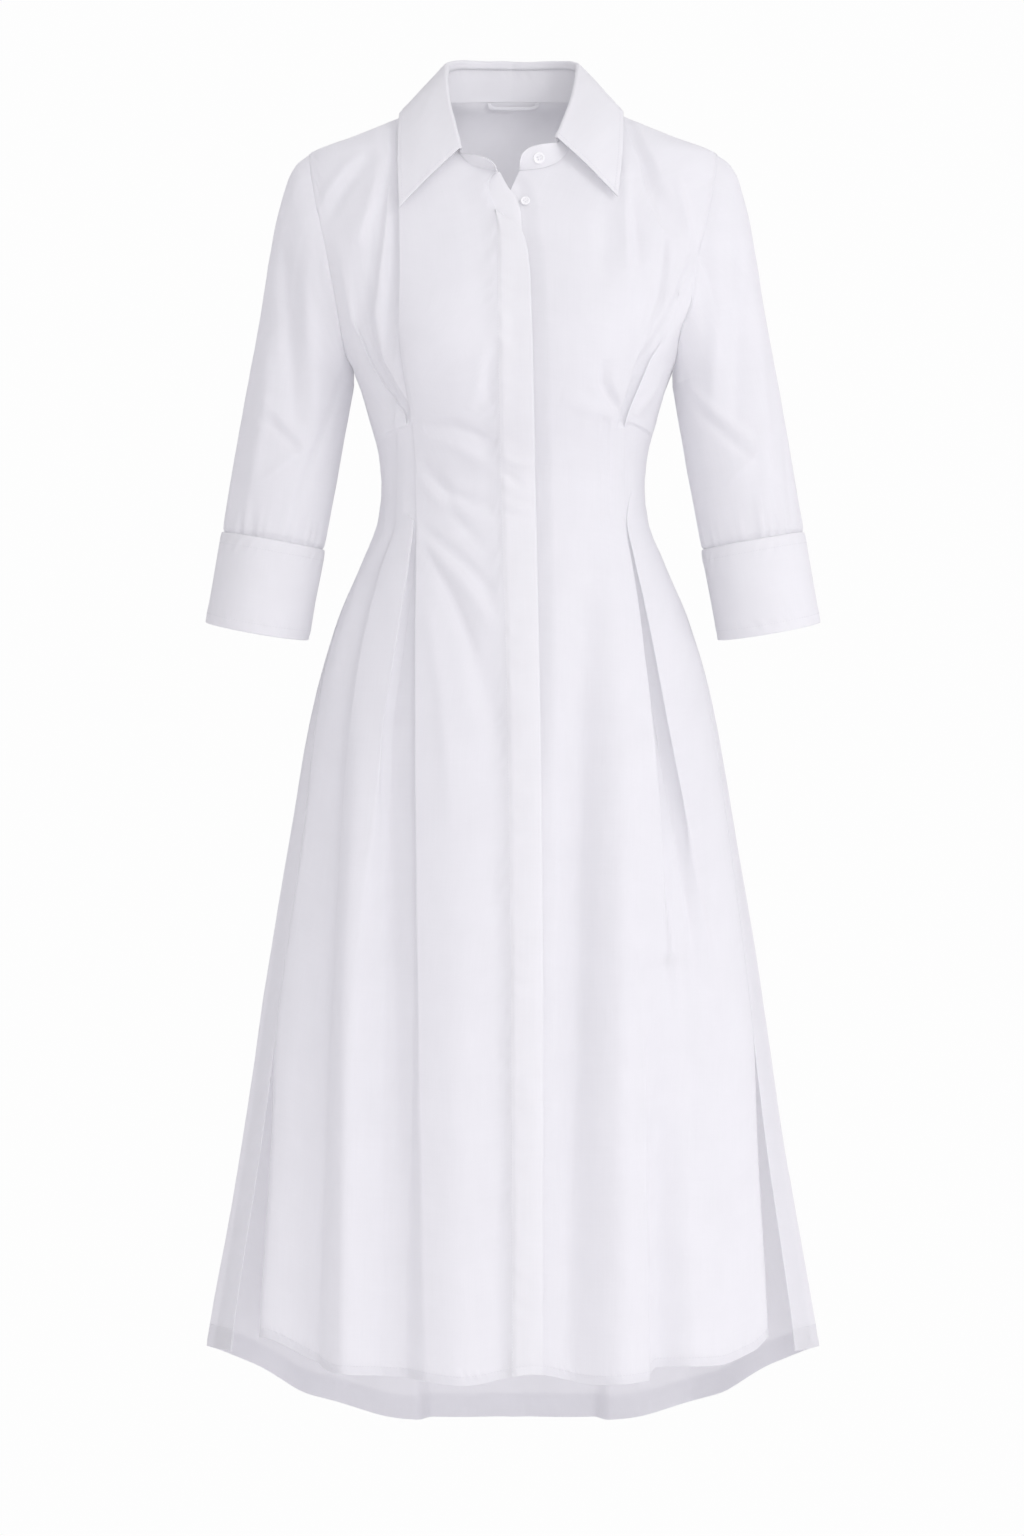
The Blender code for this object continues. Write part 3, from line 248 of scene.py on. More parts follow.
# Pleats that run up and down a front. q grows from the edge towards the side.
# height, edge (from the centre), floor (flat width), near_wall, far_wall, depth
RIGHT_SHOULDER_PLEAT = metres((
    (-200, 1100, 20, 22, 140, 16), (-1050, 1055, 30, 22, 200, 42), (-2090, 1018, 30, 22, 180, 56),
    (-2680, 957, 20, 20, 140, 46), (-3030, 922, 10, 18, 120, 22), (-3300, 906, 10, 16, 120, 15),
    (-3860, 896, 6, 14, 110, 15), (-3940, 893, 4, 14, 20, 16), (-4320, 895, 32, 20, 26, 64),
    (-5100, 895, 130, 24, 36, 105), (-6000, 890, 240, 28, 52, 128),
    (-7500, 870, 260, 55, 190, 135), (-9500, 830, 240, 140, 300, 140),
    (-11900, 760, 200, 260, 340, 145),
))

RIGHT_SECOND_PLEAT = metres((
    (-3180, 1070, 10, 16, 90, 10), (-3930, 1090, 4, 14, 90, 16), (-4430, 1245, 30, 22, 140, 66),
    (-5150, 1410, 50, 28, 180, 84), (-6000, 1530, 80, 45, 220, 76),
    (-7200, 1640, 100, 100, 260, 30), (-8200, 1700, 100, 120, 300, 0),
))

RIGHT_BUST_FOLD = metres((
    (-1200, 1370, 30, 120, 120, 0), (-1600, 1320, 30, 120, 120, 28),
    (-2050, 1235, 30, 120, 90, 48), (-2340, 1160, 20, 120, 30, 60),
    (-2590, 1062, 15, 115, 22, 58), (-2820, 966, 10, 85, 18, 46), (-3000, 950, 4, 14, 14, 20),
    (-3080, 945, 3, 10, 12, 0),
))

LEFT_SHOULDER_PLEAT = metres((
    (-200, 1040, 10, 16, 100, 24), (-450, 1115, 20, 16, 120, 48), (-600, 1178, 20, 18, 140, 60),
    (-790, 1207, 30, 24, 160, 54), (-1040, 1285, 40, 45, 200, 36), (-1320, 1400, 40, 100, 240, 0),
))

LEFT_TUCK = metres((
    (-2980, 798, 10, 14, 70, 0), (-3060, 798, 10, 14, 70, 11), (-3910, 805, 10, 14, 70, 11),
    (-4000, 808, 10, 14, 70, 0),
))

LEFT_WAIST_PLEAT = metres((
    (-200, 1090, 10, 130, 140, 0), (-1100, 1060, 20, 130, 180, 14),
    (-1950, 1030, 20, 130, 180, 16), (-2600, 960, 20, 130, 120, 10), (-2980, 1025, 10, 16, 80, 0),
    (-3080, 1025, 10, 16, 80, 12), (-3490, 1025, 10, 16, 80, 11), (-3930, 1030, 3, 14, 18, 16),
    (-4320, 1095, 6, 18, 20, 64), (-4700, 1150, 24, 21, 26, 108), (-5100, 1200, 46, 23, 30, 140),
    (-5600, 1255, 76, 26, 36, 160), (-6200, 1310, 112, 32, 48, 170),
    (-7000, 1366, 150, 56, 90, 140), (-7800, 1390, 160, 120, 180, 100),
    (-8600, 1400, 160, 180, 260, 50), (-9800, 1390, 160, 200, 300, 0),
))

LEFT_BUST_FOLD = metres((
    (-1800, 1250, 20, 120, 160, 0), (-2120, 1215, 20, 110, 130, 20),
    (-2320, 1150, 20, 100, 70, 46), (-2460, 1100, 20, 85, 30, 68), (-2620, 1052, 20, 70, 22, 80),
    (-2840, 990, 15, 60, 20, 76), (-3000, 955, 10, 50, 18, 58), (-3090, 945, 10, 50, 20, 0),
))

LEFT_HEM_PLEAT = metres((
    (-8600, 1180, 40, 80, 240, 0), (-9800, 1200, 60, 60, 280, 80),
    (-11900, 1220, 100, 40, 340, 180),
))

BACK_PLEAT = metres((
    (-2500, 780, 10, 50, 120, 0), (-3050, 760, 10, 25, 80, 20), (-3950, 780, 10, 22, 50, 20),
    (-4500, 800, 60, 28, 60, 74), (-5400, 820, 160, 40, 100, 120),
    (-7000, 840, 220, 100, 260, 140), (-9500, 820, 260, 160, 400, 160),
    (-12700, 780, 280, 200, 460, 170),
))

# Soft folds of the skirt and bodice, up and down. height, centre (signed), width, rise
FRONT_FOLDS = tuple(metres(fold) for fold in (
    ((-4500, -450, 220, 0), (-6400, -540, 280, 50), (-11900, -500, 300, 80)),
    ((-5600, -1660, 200, 0), (-8000, -1850, 240, -80), (-11900, -1960, 300, -120)),
    ((-5600, -1380, 200, 0), (-8600, -1500, 220, 50), (-11900, -1530, 240, 60)),
    ((-4000, 790, 100, 0), (-5000, 690, 180, -50), (-7000, 560, 240, -90),
     (-11900, 520, 260, -120)),
    ((-4500, 980, 180, 0), (-7000, 980, 220, 40), (-11900, 960, 240, 90)),
    ((-7000, 1700, 200, 0), (-9000, 1880, 220, -50), (-11900, 2060, 240, -80)),
    ((-1000, -1500, 120, 0), (-1700, -1450, 120, 30), (-2500, -1300, 100, 30),
     (-3000, -1150, 100, 0)),
    ((-1000, 1500, 120, 0), (-1900, 1430, 120, 25), (-2700, 1220, 100, 25), (-3000, 1150, 100, 0)),
))

BACK_FOLDS = tuple(metres(fold) for fold in (
    ((-4200, 0, 260, 0), (-7000, 0, 340, 60), (-12700, 0, 400, 120)),
    ((-4800, -1460, 200, 0), (-8000, -1600, 260, 60), (-12300, -1650, 320, 110)),
    ((-4800, 1460, 200, 0), (-8000, 1580, 260, 60), (-12300, 1680, 320, 110)),
    ((-7000, -2080, 180, 0), (-9000, -2150, 220, -60), (-12000, -2300, 260, -100)),
    ((-7000, 2080, 180, 0), (-9000, 2180, 220, -60), (-12000, 2320, 260, -100)),
))

# The collar's roll and outer edge on the wearer's left, centre back (0) to front end (1).
# run, roll_x, roll_y, roll_z, edge_x, edge_y, edge_z
COLLAR = metres((
    (0.0, 0, 600, 500, 0, 765, -90), (0.18, 300, 540, 495, 440, 740, -100),
    (0.34, 520, 360, 470, 800, 560, -80), (0.48, 610, 110, 400, 1000, 200, -40),
    (0.6, 605, -120, 270, 1050, -160, -90), (0.72, 580, -320, 80, 1050, -430, -290),
    (0.86, 510, -540, -190, 1040, -640, -620), (1.0, 430, -690, -440, 1010, -800, -1000),
), plain=(0,))

# The stand's upper edge on one side beyond the leaf, to its rounded end.
# run, x, y, z
STAND_END_TOP = metres((
    (1.1, 300, -745, -512), (1.2, 205, -770, -540), (1.28, 120, -785, -610),
    (1.32, 98, -787, -680),
), plain=(0,))

# Rings of a sleeve's cap: share of the way from armhole to underarm level, bulge
CAP_RINGS = metres((
    (0.0, 0), (0.06, 95), (0.14, 130), (0.28, 135), (0.48, 105), (0.74, 45),
), plain=(0,))

# Rings of its tube: distance down the axis from the underarm, half_width, half_depth
SLEEVE_RINGS = metres((
    (0, 490, 530), (350, 492, 512), (750, 492, 496), (1150, 490, 484), (1420, 487, 478),
    (1530, 480, 470), (1580, 459, 449), (1660, 456, 446),
))

# Rings of a cuff: share of its depth, half_width, half_depth
CUFF_RINGS = metres((
    (0.0, 490, 480), (0.06, 494, 484), (0.5, 490, 480), (1.0, 490, 480),
), plain=(0,))

# One button: radius, height, from the axis over the rim to the base.
BUTTON_PROFILE = metres((
    (0, 13), (30, 13), (37, 19), (47, 21), (55, 16), (56, 7), (50, 0), (0, 0),
))

# The middle of the hanger loop's tape. across, height
HANGER_LOOP = metres((
    (-235, 92), (-226, 66), (-195, 50), (-140, 46), (140, 46), (195, 50), (226, 66), (235, 92),
))

# Creases of the fronts. Each has the width of its left and right slope, its height (below 0 a
# trough), then the places of its path, each as distance from the centre and height.
FRONT_CREASES = metres((
    # fan from the right shoulder's pleat
    (35, 100, 23, -1134, -433, -1216, -744, -1326, -1083, -1445, -1403),
    (60, 35, 25, -1125, -580, -1162, -1083, -1207, -1604, -1244, -2116),
    (100, 60, -21, -1162, -580, -1271, -1083, -1326, -1604, -1344, -2116),
    (70, 70, -18, -1290, -488, -1473, -717, -1637, -946, -1747, -1174),
    (60, 60, 16, -1399, -488, -1582, -671, -1719, -872, -1802, -1074),
    # folds that gather to the right bust tuck
    (60, 120, 16, -1530, -1330, -1490, -1970, -1420, -2391, -1300, -2683, -1060, -3077),
    (60, 60, 12, -1637, -1860, -1540, -2372, -1430, -2720, -1260, -2976, -1100, -3093),
    (60, 60, 14, -1262, -1952, -1180, -2318, -1079, -2629, -969, -2912),
    (40, 40, -12, -1034, -2226, -997, -2519, -960, -2793, -933, -2994),
    # blousing over the right waist tucks
    (110, 16, 13, -1271, -3148, -1125, -3105, -997, -3065, -900, -3030),
    # soft folds by the fly
    (70, 50, -11, -146, -2299, -192, -2519, -229, -2738, -201, -2940),
    (60, 60, 9, -238, -2318, -284, -2537, -329, -2757, -393, -2958),
    # drag lines from the right waist tuck to the fly
    (50, 60, -17, -814, -3086, -595, -3086, -393, -3141, -165, -3287),
    (60, 70, 15, -814, -3196, -595, -3232, -393, -3342, -146, -3507),
    (50, 60, -19, -860, -3342, -759, -3543, -530, -3708, -174, -3827),
    (70, 70, 16, -851, -3507, -704, -3708, -466, -3872, -146, -4000),
    (50, 60, -22, -869, -3982, -668, -4156, -430, -4348, -155, -4659),
    (70, 80, 20, -851, -4110, -631, -4330, -393, -4604, -146, -5007),
    (50, 60, -19, -869, -4110, -704, -4385, -540, -4714, -320, -5244),
    (60, 70, -14, -741, -3397, -595, -3781, -430, -4037, -192, -4293),
    (120, 120, -22, -631, -4339, -466, -4879, -265, -5519, -91, -6141),
    (80, 80, 14, -805, -4696, -704, -5244, -613, -5976, -558, -6799),
    # folds below the left shoulder's pleat
    (40, 60, 15, 1052, -580, 1052, -1037, 1052, -1494, 1043, -1860),
    (60, 60, -22, 1107, -946, 1125, -1174, 1143, -1403, 1162, -1604),
    (100, 100, -15, 878, -946, 860, -1266, 832, -1540, 823, -1815),
    (50, 50, 15, 1491, -671, 1564, -900, 1619, -1147, 1655, -1403),
    # long folds from the left armhole to the bust tuck
    (30, 80, -27, 1985, -1266, 1912, -1604, 1784, -1897, 1619, -2153, 1473, -2409),
    (50, 40, 17, 1893, -1266, 1784, -1604, 1655, -1879, 1491, -2153, 1344, -2446),
    (30, 70, -24, 1838, -1330, 1655, -1586, 1537, -1833, 1418, -2089, 1207, -2519),
    (50, 40, 15, 1710, -1366, 1564, -1604, 1445, -1860, 1317, -2116, 1162, -2427),
    (30, 70, -22, 1409, -1266, 1390, -1586, 1344, -1869, 1235, -2153, 1088, -2455),
    (40, 40, -19, 704, -2519, 796, -2702, 896, -2848, 997, -2967),
    (40, 40, 14, 814, -2455, 878, -2665, 951, -2830, 1015, -2949),
    (40, 40, 17, 1381, -2464, 1290, -2665, 1189, -2848, 1107, -2976),
    (80, 80, 14, 430, -2821, 613, -2894, 796, -2949, 942, -2994),
    # blousing over the left waist tucks
    (16, 110, 14, 1330, -3150, 1250, -3095, 1150, -3048, 1000, -3015),
    # soft folds of the skirt
    (160, 160, -16, 659, -4330, 631, -5610, 585, -6982, 540, -8446),
    (150, 200, -48, 660, -5600, 610, -8000, 530, -10200, 420, -14500),
    (140, 160, 20, 960, -7000, 980, -9000, 1000, -11000, 1010, -14000),
    (140, 140, 16, 960, -4879, 997, -6159, 1015, -7439, 997, -8903),
    (120, 120, -16, 1710, -5610, 1838, -7074, 1930, -8446, 2021, -9726),
    (100, 100, 14, 1454, -5793, 1564, -7257, 1619, -8720, 1655, -10183),
    (130, 340, -68, -1640, -5400, -1760, -7600, -1850, -10000, -1940, -14500),
    (140, 120, 36, -1400, -5600, -1480, -7800, -1500, -10000, -1480, -14000),
    (80, 80, -14, -1162, -6159, -1143, -7439, -1107, -8720, -1070, -10000),
    (100, 100, 15, -1985, -7439, -2076, -8720, -2149, -9817, -2204, -10915),
    # short puckers along the fly
    (30, 40, 9, -137, -3342, -46, -3397, 64, -3433, 192, -3397),
    (30, 30, -8, -128, -3507, -46, -3543, 27, -3598, 82, -3671),
    (30, 30, 7, -128, -3891, -27, -3854, 82, -3845, 192, -3891),
))

# Creases of the sleeves, as FRONT_CREASES, with the way round from the sleeve's front line
# (+ away from the body) in place of the distance from the centre.
SLEEVE_CREASES = {
    RIGHT: metres((
        (80, 110, -32, 480, -1200, 250, -1900, 60, -2650, -95, -3120),
        (90, 80, 20, 160, -1120, 33, -1900, -144, -2650, -250, -3200),
        (100, 80, 19, 410, -2180, 280, -2840, 270, -3500, 240, -4000),
        (40, 60, 13, 330, -2790, 158, -2930, -62, -3120, -180, -3260),
        (50, 50, -14, 388, -2910, 155, -3070, -42, -3230, -170, -3400),
        (50, 60, 10, -281, -3210, -76, -3330, 90, -3480, 230, -3580),
        (60, 60, -12, -480, -2500, -360, -3000, -250, -3500, -180, -3920),
        (60, 60, 11, 600, -3450, 560, -3700, 500, -3920, 460, -4100),
        (50, 50, -10, 235, -3600, 230, -3800, 215, -3980, 205, -4110),
        (50, 50, 9, -115, -3620, -120, -3800, -140, -3980, -150, -4100),
    )),
    LEFT: metres((
        (100, 80, -22, 400, -1200, 260, -1850, 120, -2500, 0, -3100),
        (80, 90, 20, 120, -1050, 60, -1800, -100, -2500, -200, -3050),
        (80, 100, 18, 460, -2000, 340, -2700, 250, -3400, 200, -3950),
        (60, 40, 13, -420, -2620, -240, -2840, -40, -3040, 180, -3260),
        (50, 50, -13, -440, -2800, -250, -3000, -60, -3200, 140, -3400),
        (50, 60, 10, 340, -3120, 160, -3280, -20, -3460, -200, -3600),
        (60, 60, -10, 560, -3000, 500, -3400, 440, -3750, 400, -4000),
        (50, 50, 9, 100, -3620, 90, -3800, 90, -3980, 80, -4100),
    )),
}

# Creases of the back, like those of the fronts: signed distance across, height.
BACK_CREASES = metres((
    (80, 120, 16, -1500, -600, -1200, -1100, -800, -1500, -300, -1700),
    (100, 80, -15, -1600, -900, -1250, -1400, -850, -1800, -400, -2050),
    (80, 120, 15, 1520, -640, 1200, -1180, 780, -1560, 340, -1820),
    (100, 80, -14, 1600, -980, 1280, -1500, 900, -1900, 440, -2120),
    (60, 100, 18, -1300, -2400, -1100, -2750, -920, -3000, -780, -3200),
    (60, 100, 17, 1320, -2360, 1120, -2700, 940, -2980, 800, -3200),
    (80, 80, -14, -600, -2500, -200, -2680, 250, -2620, 620, -2440),
    (70, 90, 14, -660, -2820, -220, -2960, 200, -2920, 660, -2760),
    (80, 80, 15, -700, -4120, -300, -4400, 100, -4520, 500, -4400),
    (100, 100, -16, -740, -4500, -400, -4900, -140, -5400, 0, -6000),
    (100, 100, 15, 740, -4400, 440, -4800, 200, -5300, 80, -5900),
    (140, 140, -18, -1200, -5600, -1300, -7000, -1340, -8400, -1360, -9800),
    (140, 140, -16, 1220, -5700, 1300, -7000, 1360, -8300, 1400, -9600),
))

# Rows of stitches: grid, edge it follows, distance inside it, share of the edge from and to.
SEWING_LINES = {
    "sewing_fly": (("placket_cloth", "first", 0.0006, 0.0, 1.0),),
    "sewing_hems": (
        ("front_right_cloth", "low", HEM_STITCH, 0.0, 1.0),
        ("front_left_cloth", "low", HEM_STITCH, 0.0, 1.0),
        ("placket_cloth", "low", HEM_STITCH, 0.0, 1.0),
        ("back_cloth", "low", FACING_STITCH, 0.0, 1.0),
    ),
    "sewing_cuffs": (
        ("cuff_right_cloth", "high", CUFF_HIGH_STITCH, 0.0, 1.0),
        ("cuff_right_cloth", "low", CUFF_LOW_STITCH, 0.0, 1.0),
        ("cuff_left_cloth", "high", CUFF_HIGH_STITCH, 0.0, 1.0),
        ("cuff_left_cloth", "low", CUFF_LOW_STITCH, 0.0, 1.0),
    ),
    "sewing_collar": (
        ("collar_leaf_cloth", "high", COLLAR_STITCH, 0.012, 0.988),
        ("collar_leaf_cloth", "first", COLLAR_STITCH, 0.25, 0.96),
        ("collar_leaf_cloth", "last", COLLAR_STITCH, 0.25, 0.96),
        ("collar_stand_cloth", "high", 0.0014, 0.0, 1.0),
    ),
}


# ---------------------------------------------------------------- curves through tables
def curve(table, column, key):
    """A column of a table at the keys, on a smooth curve through its rows."""
    rows = np.array(sorted(tuple(row) for row in table), dtype=float)
    key = np.clip(np.asarray(key, dtype=float), rows[0, 0], rows[-1, 0])
    place, value = rows[:, 0], rows[:, column]
    step = np.diff(place)
    rise = np.diff(value) / step
    before, after = rise[:-1], rise[1:]
    total = np.where(before * after > 0, before + after, 1.0)
    inner = np.where(before * after > 0, 2 * before * after / total, 0.0)
    slope = np.concatenate([rise[:1], inner, rise[-1:]])
    at = np.clip(np.searchsorted(place, key, side="right") - 1, 0, len(place) - 2)
    t = (key - place[at]) / step[at]
    return (
        value[at] * (1 + 2 * t) * (1 - t) ** 2
        + slope[at] * step[at] * t * (1 - t) ** 2
        + value[at + 1] * t * t * (3 - 2 * t)
        - slope[at + 1] * step[at] * t * t * (1 - t)
    )


def ease(t):
    t = np.clip(t, 0.0, 1.0)
    return t * t * (3 - 2 * t)


def mix(first, last, t):
    return first + (last - first) * t


def unit(vectors):
    return vectors / np.maximum(np.linalg.norm(vectors, axis=-1, keepdims=True), 1e-12)


def signed_power(value, exponent):
    return np.sign(value) * np.abs(value) ** exponent


def smooth_line(places, count):
    """Points on a smooth curve through a chain of places across and up."""
    table = [(i, *place) for i, place in enumerate(places)]
    stops = np.linspace(0, len(places) - 1, count)
    return np.stack([curve(table, column, stops) for column in (1, 2)], axis=-1)


def points_at(distances, way, points):
    """Points at distances along a chain of points; way is how far along each of them is."""
    return np.stack([np.interp(distances, way, points[:, i]) for i in range(3)], axis=-1)

# ---------------------------------------------------------------- the body form
def body_point(angle, height):
    """Points of the plain form. The angle is 0 at the centre front, + to the wearer's left."""
    angle, height = np.broadcast_arrays(angle, height)
    wide = curve(SECTIONS, 1, height)
    deep = np.where(np.cos(angle) > 0, curve(SECTIONS, 2, height), curve(SECTIONS, 3, height))
    square = 2 / curve(SECTIONS, 4, height)
    across = wide * signed_power(np.sin(angle), square)
    return np.stack([across, -deep * signed_power(np.cos(angle), square), height], axis=-1)


def body_directions(angle, height):
    """The outward normal of the plain form and the direction of a growing angle."""
    around = body_point(angle + 0.02, height) - body_point(angle - 0.02, height)
    up = body_point(angle, height + 0.004) - body_point(angle, height - 0.004)
    return unit(np.cross(around, up)), unit(around)


def angle_at(across, height):
    """The front angle whose point lies this far from the centre."""
    share = np.clip(np.abs(across) / curve(SECTIONS, 1, height), 0.0, 1.0)
    half = curve(SECTIONS, 4, height) / 2
    return np.copysign(np.arcsin(np.clip(share**half, 0.0, 1.0)), across)


def wall_path(t, width, depth):
    """A pleat's wall from its panel (0) to its floor (1): how far it laps, and how far it drops.

    A narrow wall is a pressed fold, where the cloth rolls over and runs back under its panel
    before it comes out on the floor. A wide one is a soft slope.
    """
    pressed = (1 - ease((width - 0.0045) / 0.008)) * ease(depth / 0.0014)
    roll = pressed * np.minimum(FOLD_ROLL, 0.36 * depth)
    under = pressed * np.minimum(FOLD_UNDER, 0.8 * depth)
    turn = np.pi * np.clip(t / 0.45, 0.0, 1.0)
    out = ease((t - 0.62) / 0.38)
    lap = roll * np.sin(turn) - under * ease((t - 0.4) / 0.22) + (width + under) * out - t * width
    drop = roll * (1 - np.cos(turn)) + (depth - 2 * roll) * ease((t - 0.5) / 0.5)
    return pressed * lap, mix(depth * ease(t), drop, pressed)


def pleat_parts(table, out, height):
    """A pleat's depth below the panel and its sideways lap, at distances from the centre."""
    edge, flat, near, far, depth = (curve(table, c, height) for c in range(1, 6))
    past = out - edge
    lap, drop = wall_path(np.clip(past / near, 0.0, 1.0), near, depth)
    to_top = np.clip(1 - (past - near - flat) / far, 0.0, 1.0)
    far_lap, far_drop = wall_path(to_top, far, depth)
    beyond = past > near + flat / 2
    return -np.where(beyond, far_drop, drop), np.where(beyond, -far_lap, lap)


def fold_rise(folds, across, height):
    total = np.zeros(np.shape(across))
    for fold in folds:
        centre, width, rise = (curve(fold, c, height) for c in (1, 2, 3))
        total += rise * np.exp(-(((across - centre) / width) ** 2))
    return total


def crease_rise(creases, across, height):
    """The height of the listed creases: each a path with its own width on either side."""
    total = np.zeros(np.shape(across))
    for left, right, rise, *path in creases:
        line = smooth_line(list(zip(path[::2], path[1::2])), 2 * len(path))
        reach = 3 * max(left, right)
        low, high = line.min(0) - reach, line.max(0) + reach
        near = (across > low[0]) & (across < high[0]) & (height > low[1]) & (height < high[1])
        if not near.any():
            continue
        places = np.stack([across[near], height[near]], axis=-1)
        best = np.full(len(places), 1.0)
        offset, along = np.zeros(len(places)), np.zeros(len(places))
        for k in range(len(line) - 1):
            run = line[k + 1] - line[k]
            t = np.clip((places - line[k]) @ run / (run @ run), 0.0, 1.0)
            gap = places - line[k] - t[:, None] * run
            far = np.hypot(gap[:, 0], gap[:, 1])
            closer = far < best
            best = np.where(closer, far, best)
            side = np.sign(run[0] * gap[:, 1] - run[1] * gap[:, 0])
            offset = np.where(closer, side * far, offset)
            along = np.where(closer, (k + t) / (len(line) - 1), along)
        width = np.where(offset > 0, left, right)
        fade = np.clip(np.sin(np.pi * along), 0.0, 1.0) ** 0.6
        total[near] += rise * fade * np.exp(-((offset / width) ** 2))
    return total


RIGHT_PLEATS = (RIGHT_SHOULDER_PLEAT, RIGHT_SECOND_PLEAT, RIGHT_BUST_FOLD)
LEFT_PLEATS = (LEFT_TUCK, LEFT_SHOULDER_PLEAT, LEFT_WAIST_PLEAT, LEFT_BUST_FOLD, LEFT_HEM_PLEAT)


def front_relief(across, height):
    """Rise above the plain form and sideways lap of the fronts, folds and pleats together."""
    rise = fold_rise(FRONT_FOLDS, across, height)
    lap = np.zeros(np.shape(across))
    for side, pleats in ((RIGHT, RIGHT_PLEATS), (LEFT, LEFT_PLEATS)):
        here = across * side > 0
        for pleat in pleats:
            sunk, shift = pleat_parts(pleat, np.abs(across), height)
            rise += np.where(here, sunk, 0.0)
            lap += np.where(here, side * shift, 0.0)
    aside = (np.abs(across) - CUP["across"]) / CUP["wide"]
    above = (height - CUP["height"]) / CUP["tall"]
    rise += CUP["depth"] * np.exp(-aside * aside - above * above)
    return rise + creases_of(FRONT_CREASES, across, height), lap


def back_relief(across, height):
    sunk, shift = pleat_parts(BACK_PLEAT, np.abs(across), height)
    rise = fold_rise(BACK_FOLDS, across, height) + sunk
    # The back is walked the other way round, so a lap away from the centre turns its sign.
    return rise + creases_of(BACK_CREASES, across, height), -np.sign(across) * shift


def creases_of(creases, across, height):
    return cloth_settings().crease_depth * crease_rise(creases, across, height)


def cloth_point(angle, height, lift=0.0):
    """Points of the worn cloth, with its pleats and creases, moved out by lift."""
    angle, height = np.broadcast_arrays(np.asarray(angle, float), np.asarray(height, float))
    plain = body_point(angle, height)
    out, around = body_directions(angle, height)
    facing = np.cos(angle) > 0
    front_rise, front_lap = front_relief(plain[..., 0], height)
    back_rise, back_lap = back_relief(plain[..., 0], height)
    # The folds die away at the shoulder seam and straight at the side.
    fade = ease((np.abs(np.cos(angle)) - math.cos(SHOULDER_SEAM)) / SHOULDER_FADE)
    rise = np.where(facing, front_rise, back_rise) * fade + lift
    lap = np.where(facing, front_lap, back_lap) * fade
    return plain + out * rise[..., None] + around * lap[..., None]


def fly_lift(angle, height):
    """The right front's edge curls forward where the neck is open."""
    from_edge = body_point(angle, height)[..., 0] - curve(RIGHT_FRONT_EDGE, 1, height)
    up = (height - CURL["height"]) / CURL["tall"]
    aside = np.minimum(from_edge, 0.0) / CURL["wide"]
    return CURL["lift"] * np.exp(-up * up - aside * aside)


def fly_reach(height):
    """How far the fly's layers reach over the left front."""
    band = curve(BAND_EDGE, 1, np.asarray(height) - BAND_AHEAD)
    return np.maximum(curve(PLACKET_EDGE, 1, height), band) + FLY_SPARE


def lap_lift(angle, height):
    """The left front dips behind the fly."""
    beyond = body_point(angle, height)[..., 0] - fly_reach(height)
    return LAP_LIFT * (1 - ease(beyond / LAP_RAMP))


# ---------------------------------------------------------------- seams and small waves
def wave(along, pitch, seed):
    """An uneven wave along a seam, between -1 and 1."""
    turn = 2 * np.pi * np.asarray(along) / pitch
    bend = 1.3 * np.sin(turn / 4.3 + seed) + 0.8 * np.sin(turn / 2.1 + 2.4 * seed)
    return np.sin(turn + bend) * (0.62 + 0.38 * np.sin(turn / 6.1 + 1.7 * seed))


def pucker(from_seam, along, pitch, reach, seed):
    """Small ridges that a row of sewing pulls up across itself."""
    slanted = along + 0.45 * from_seam
    ridge = np.exp(-((from_seam / reach) ** 2)) * wave(slanted, pitch, seed)
    return cloth_settings().pucker_depth * ridge


def ripple(points, size, seed):
    """Faint unevenness of hanging cloth, longer up and down than across."""
    random = np.random.RandomState(seed)
    total = np.zeros(points.shape[:-1])
    for _ in range(9):
        way = random.normal(size=3) * np.array([1.0, 1.0, 0.35]) * 2 * np.pi / size
        total += np.sin(points @ way + random.uniform(0, 2 * np.pi))
    return total / 9


def lengths(points, axis):
    """The way along each row (axis 1) or up each column (axis 0) of a grid."""
    steps = np.linalg.norm(np.diff(points, axis=axis), axis=-1)
    return np.insert(np.cumsum(steps, axis=axis), 0, 0.0, axis=axis)


def grid_normals(points, around=False):
    if around:
        across = np.roll(points, -1, axis=1) - np.roll(points, 1, axis=1)
    else:
        across = np.gradient(points, axis=1)
    return unit(np.cross(across, np.gradient(points, axis=0)))


def edge_first(edge, grids, back=False):
    """Grids turned so that the line along this edge comes first, or turned back."""
    turns = [(edge in ("first", "last"), lambda grid: grid.swapaxes(0, 1)),
             (edge in ("high", "last"), lambda grid: grid[::-1])]
    for needed, turn in reversed(turns) if back else turns:
        if needed:
            grids = [turn(grid) for grid in grids]
    return grids


def turn_under(points, normals, edge, steps, roll=None):
    """Folds a grid's edge to the inside, as a hem is: round a small roll and back."""
    points, normals = edge_first(edge, (points, normals))
    roll = roll or cloth_settings().hem_roll
    away = unit(points[0] - points[1])
    turned = [points[k] - normals[k] * 2 * roll for k in range(steps, -1, -1)]
    for turn in np.radians(ROLL_TURNS):
        turned.append(points[0] + away * roll * math.sin(turn)
                      - normals[0] * roll * (1 - math.cos(turn)))
    inner = [normals[k] for k in range(steps, -1, -1)] + [normals[0]] * len(ROLL_TURNS)
    points = np.concatenate([np.array(turned), points])
    normals = np.concatenate([np.array(inner), normals])
    return edge_first(edge, (points, normals), back=True)


# ---------------------------------------------------------------- making pieces
def linked(name, data):
    """A new object in the dress's collection."""
    kept = "shirt_dress_looks"
    if kept not in bpy.data.collections:
        bpy.context.scene.collection.children.link(bpy.data.collections.new(kept))
    made = bpy.data.objects.new(name, data)
    bpy.data.collections[kept].objects.link(made)
    return made


def smooth_mesh(name, points, faces, material):
    mesh = bpy.data.meshes.new(name)
    mesh.from_pydata(np.reshape(points, (-1, 3)).tolist(), [], faces)
    mesh.shade_smooth()
    mesh.materials.append(material)
    return mesh


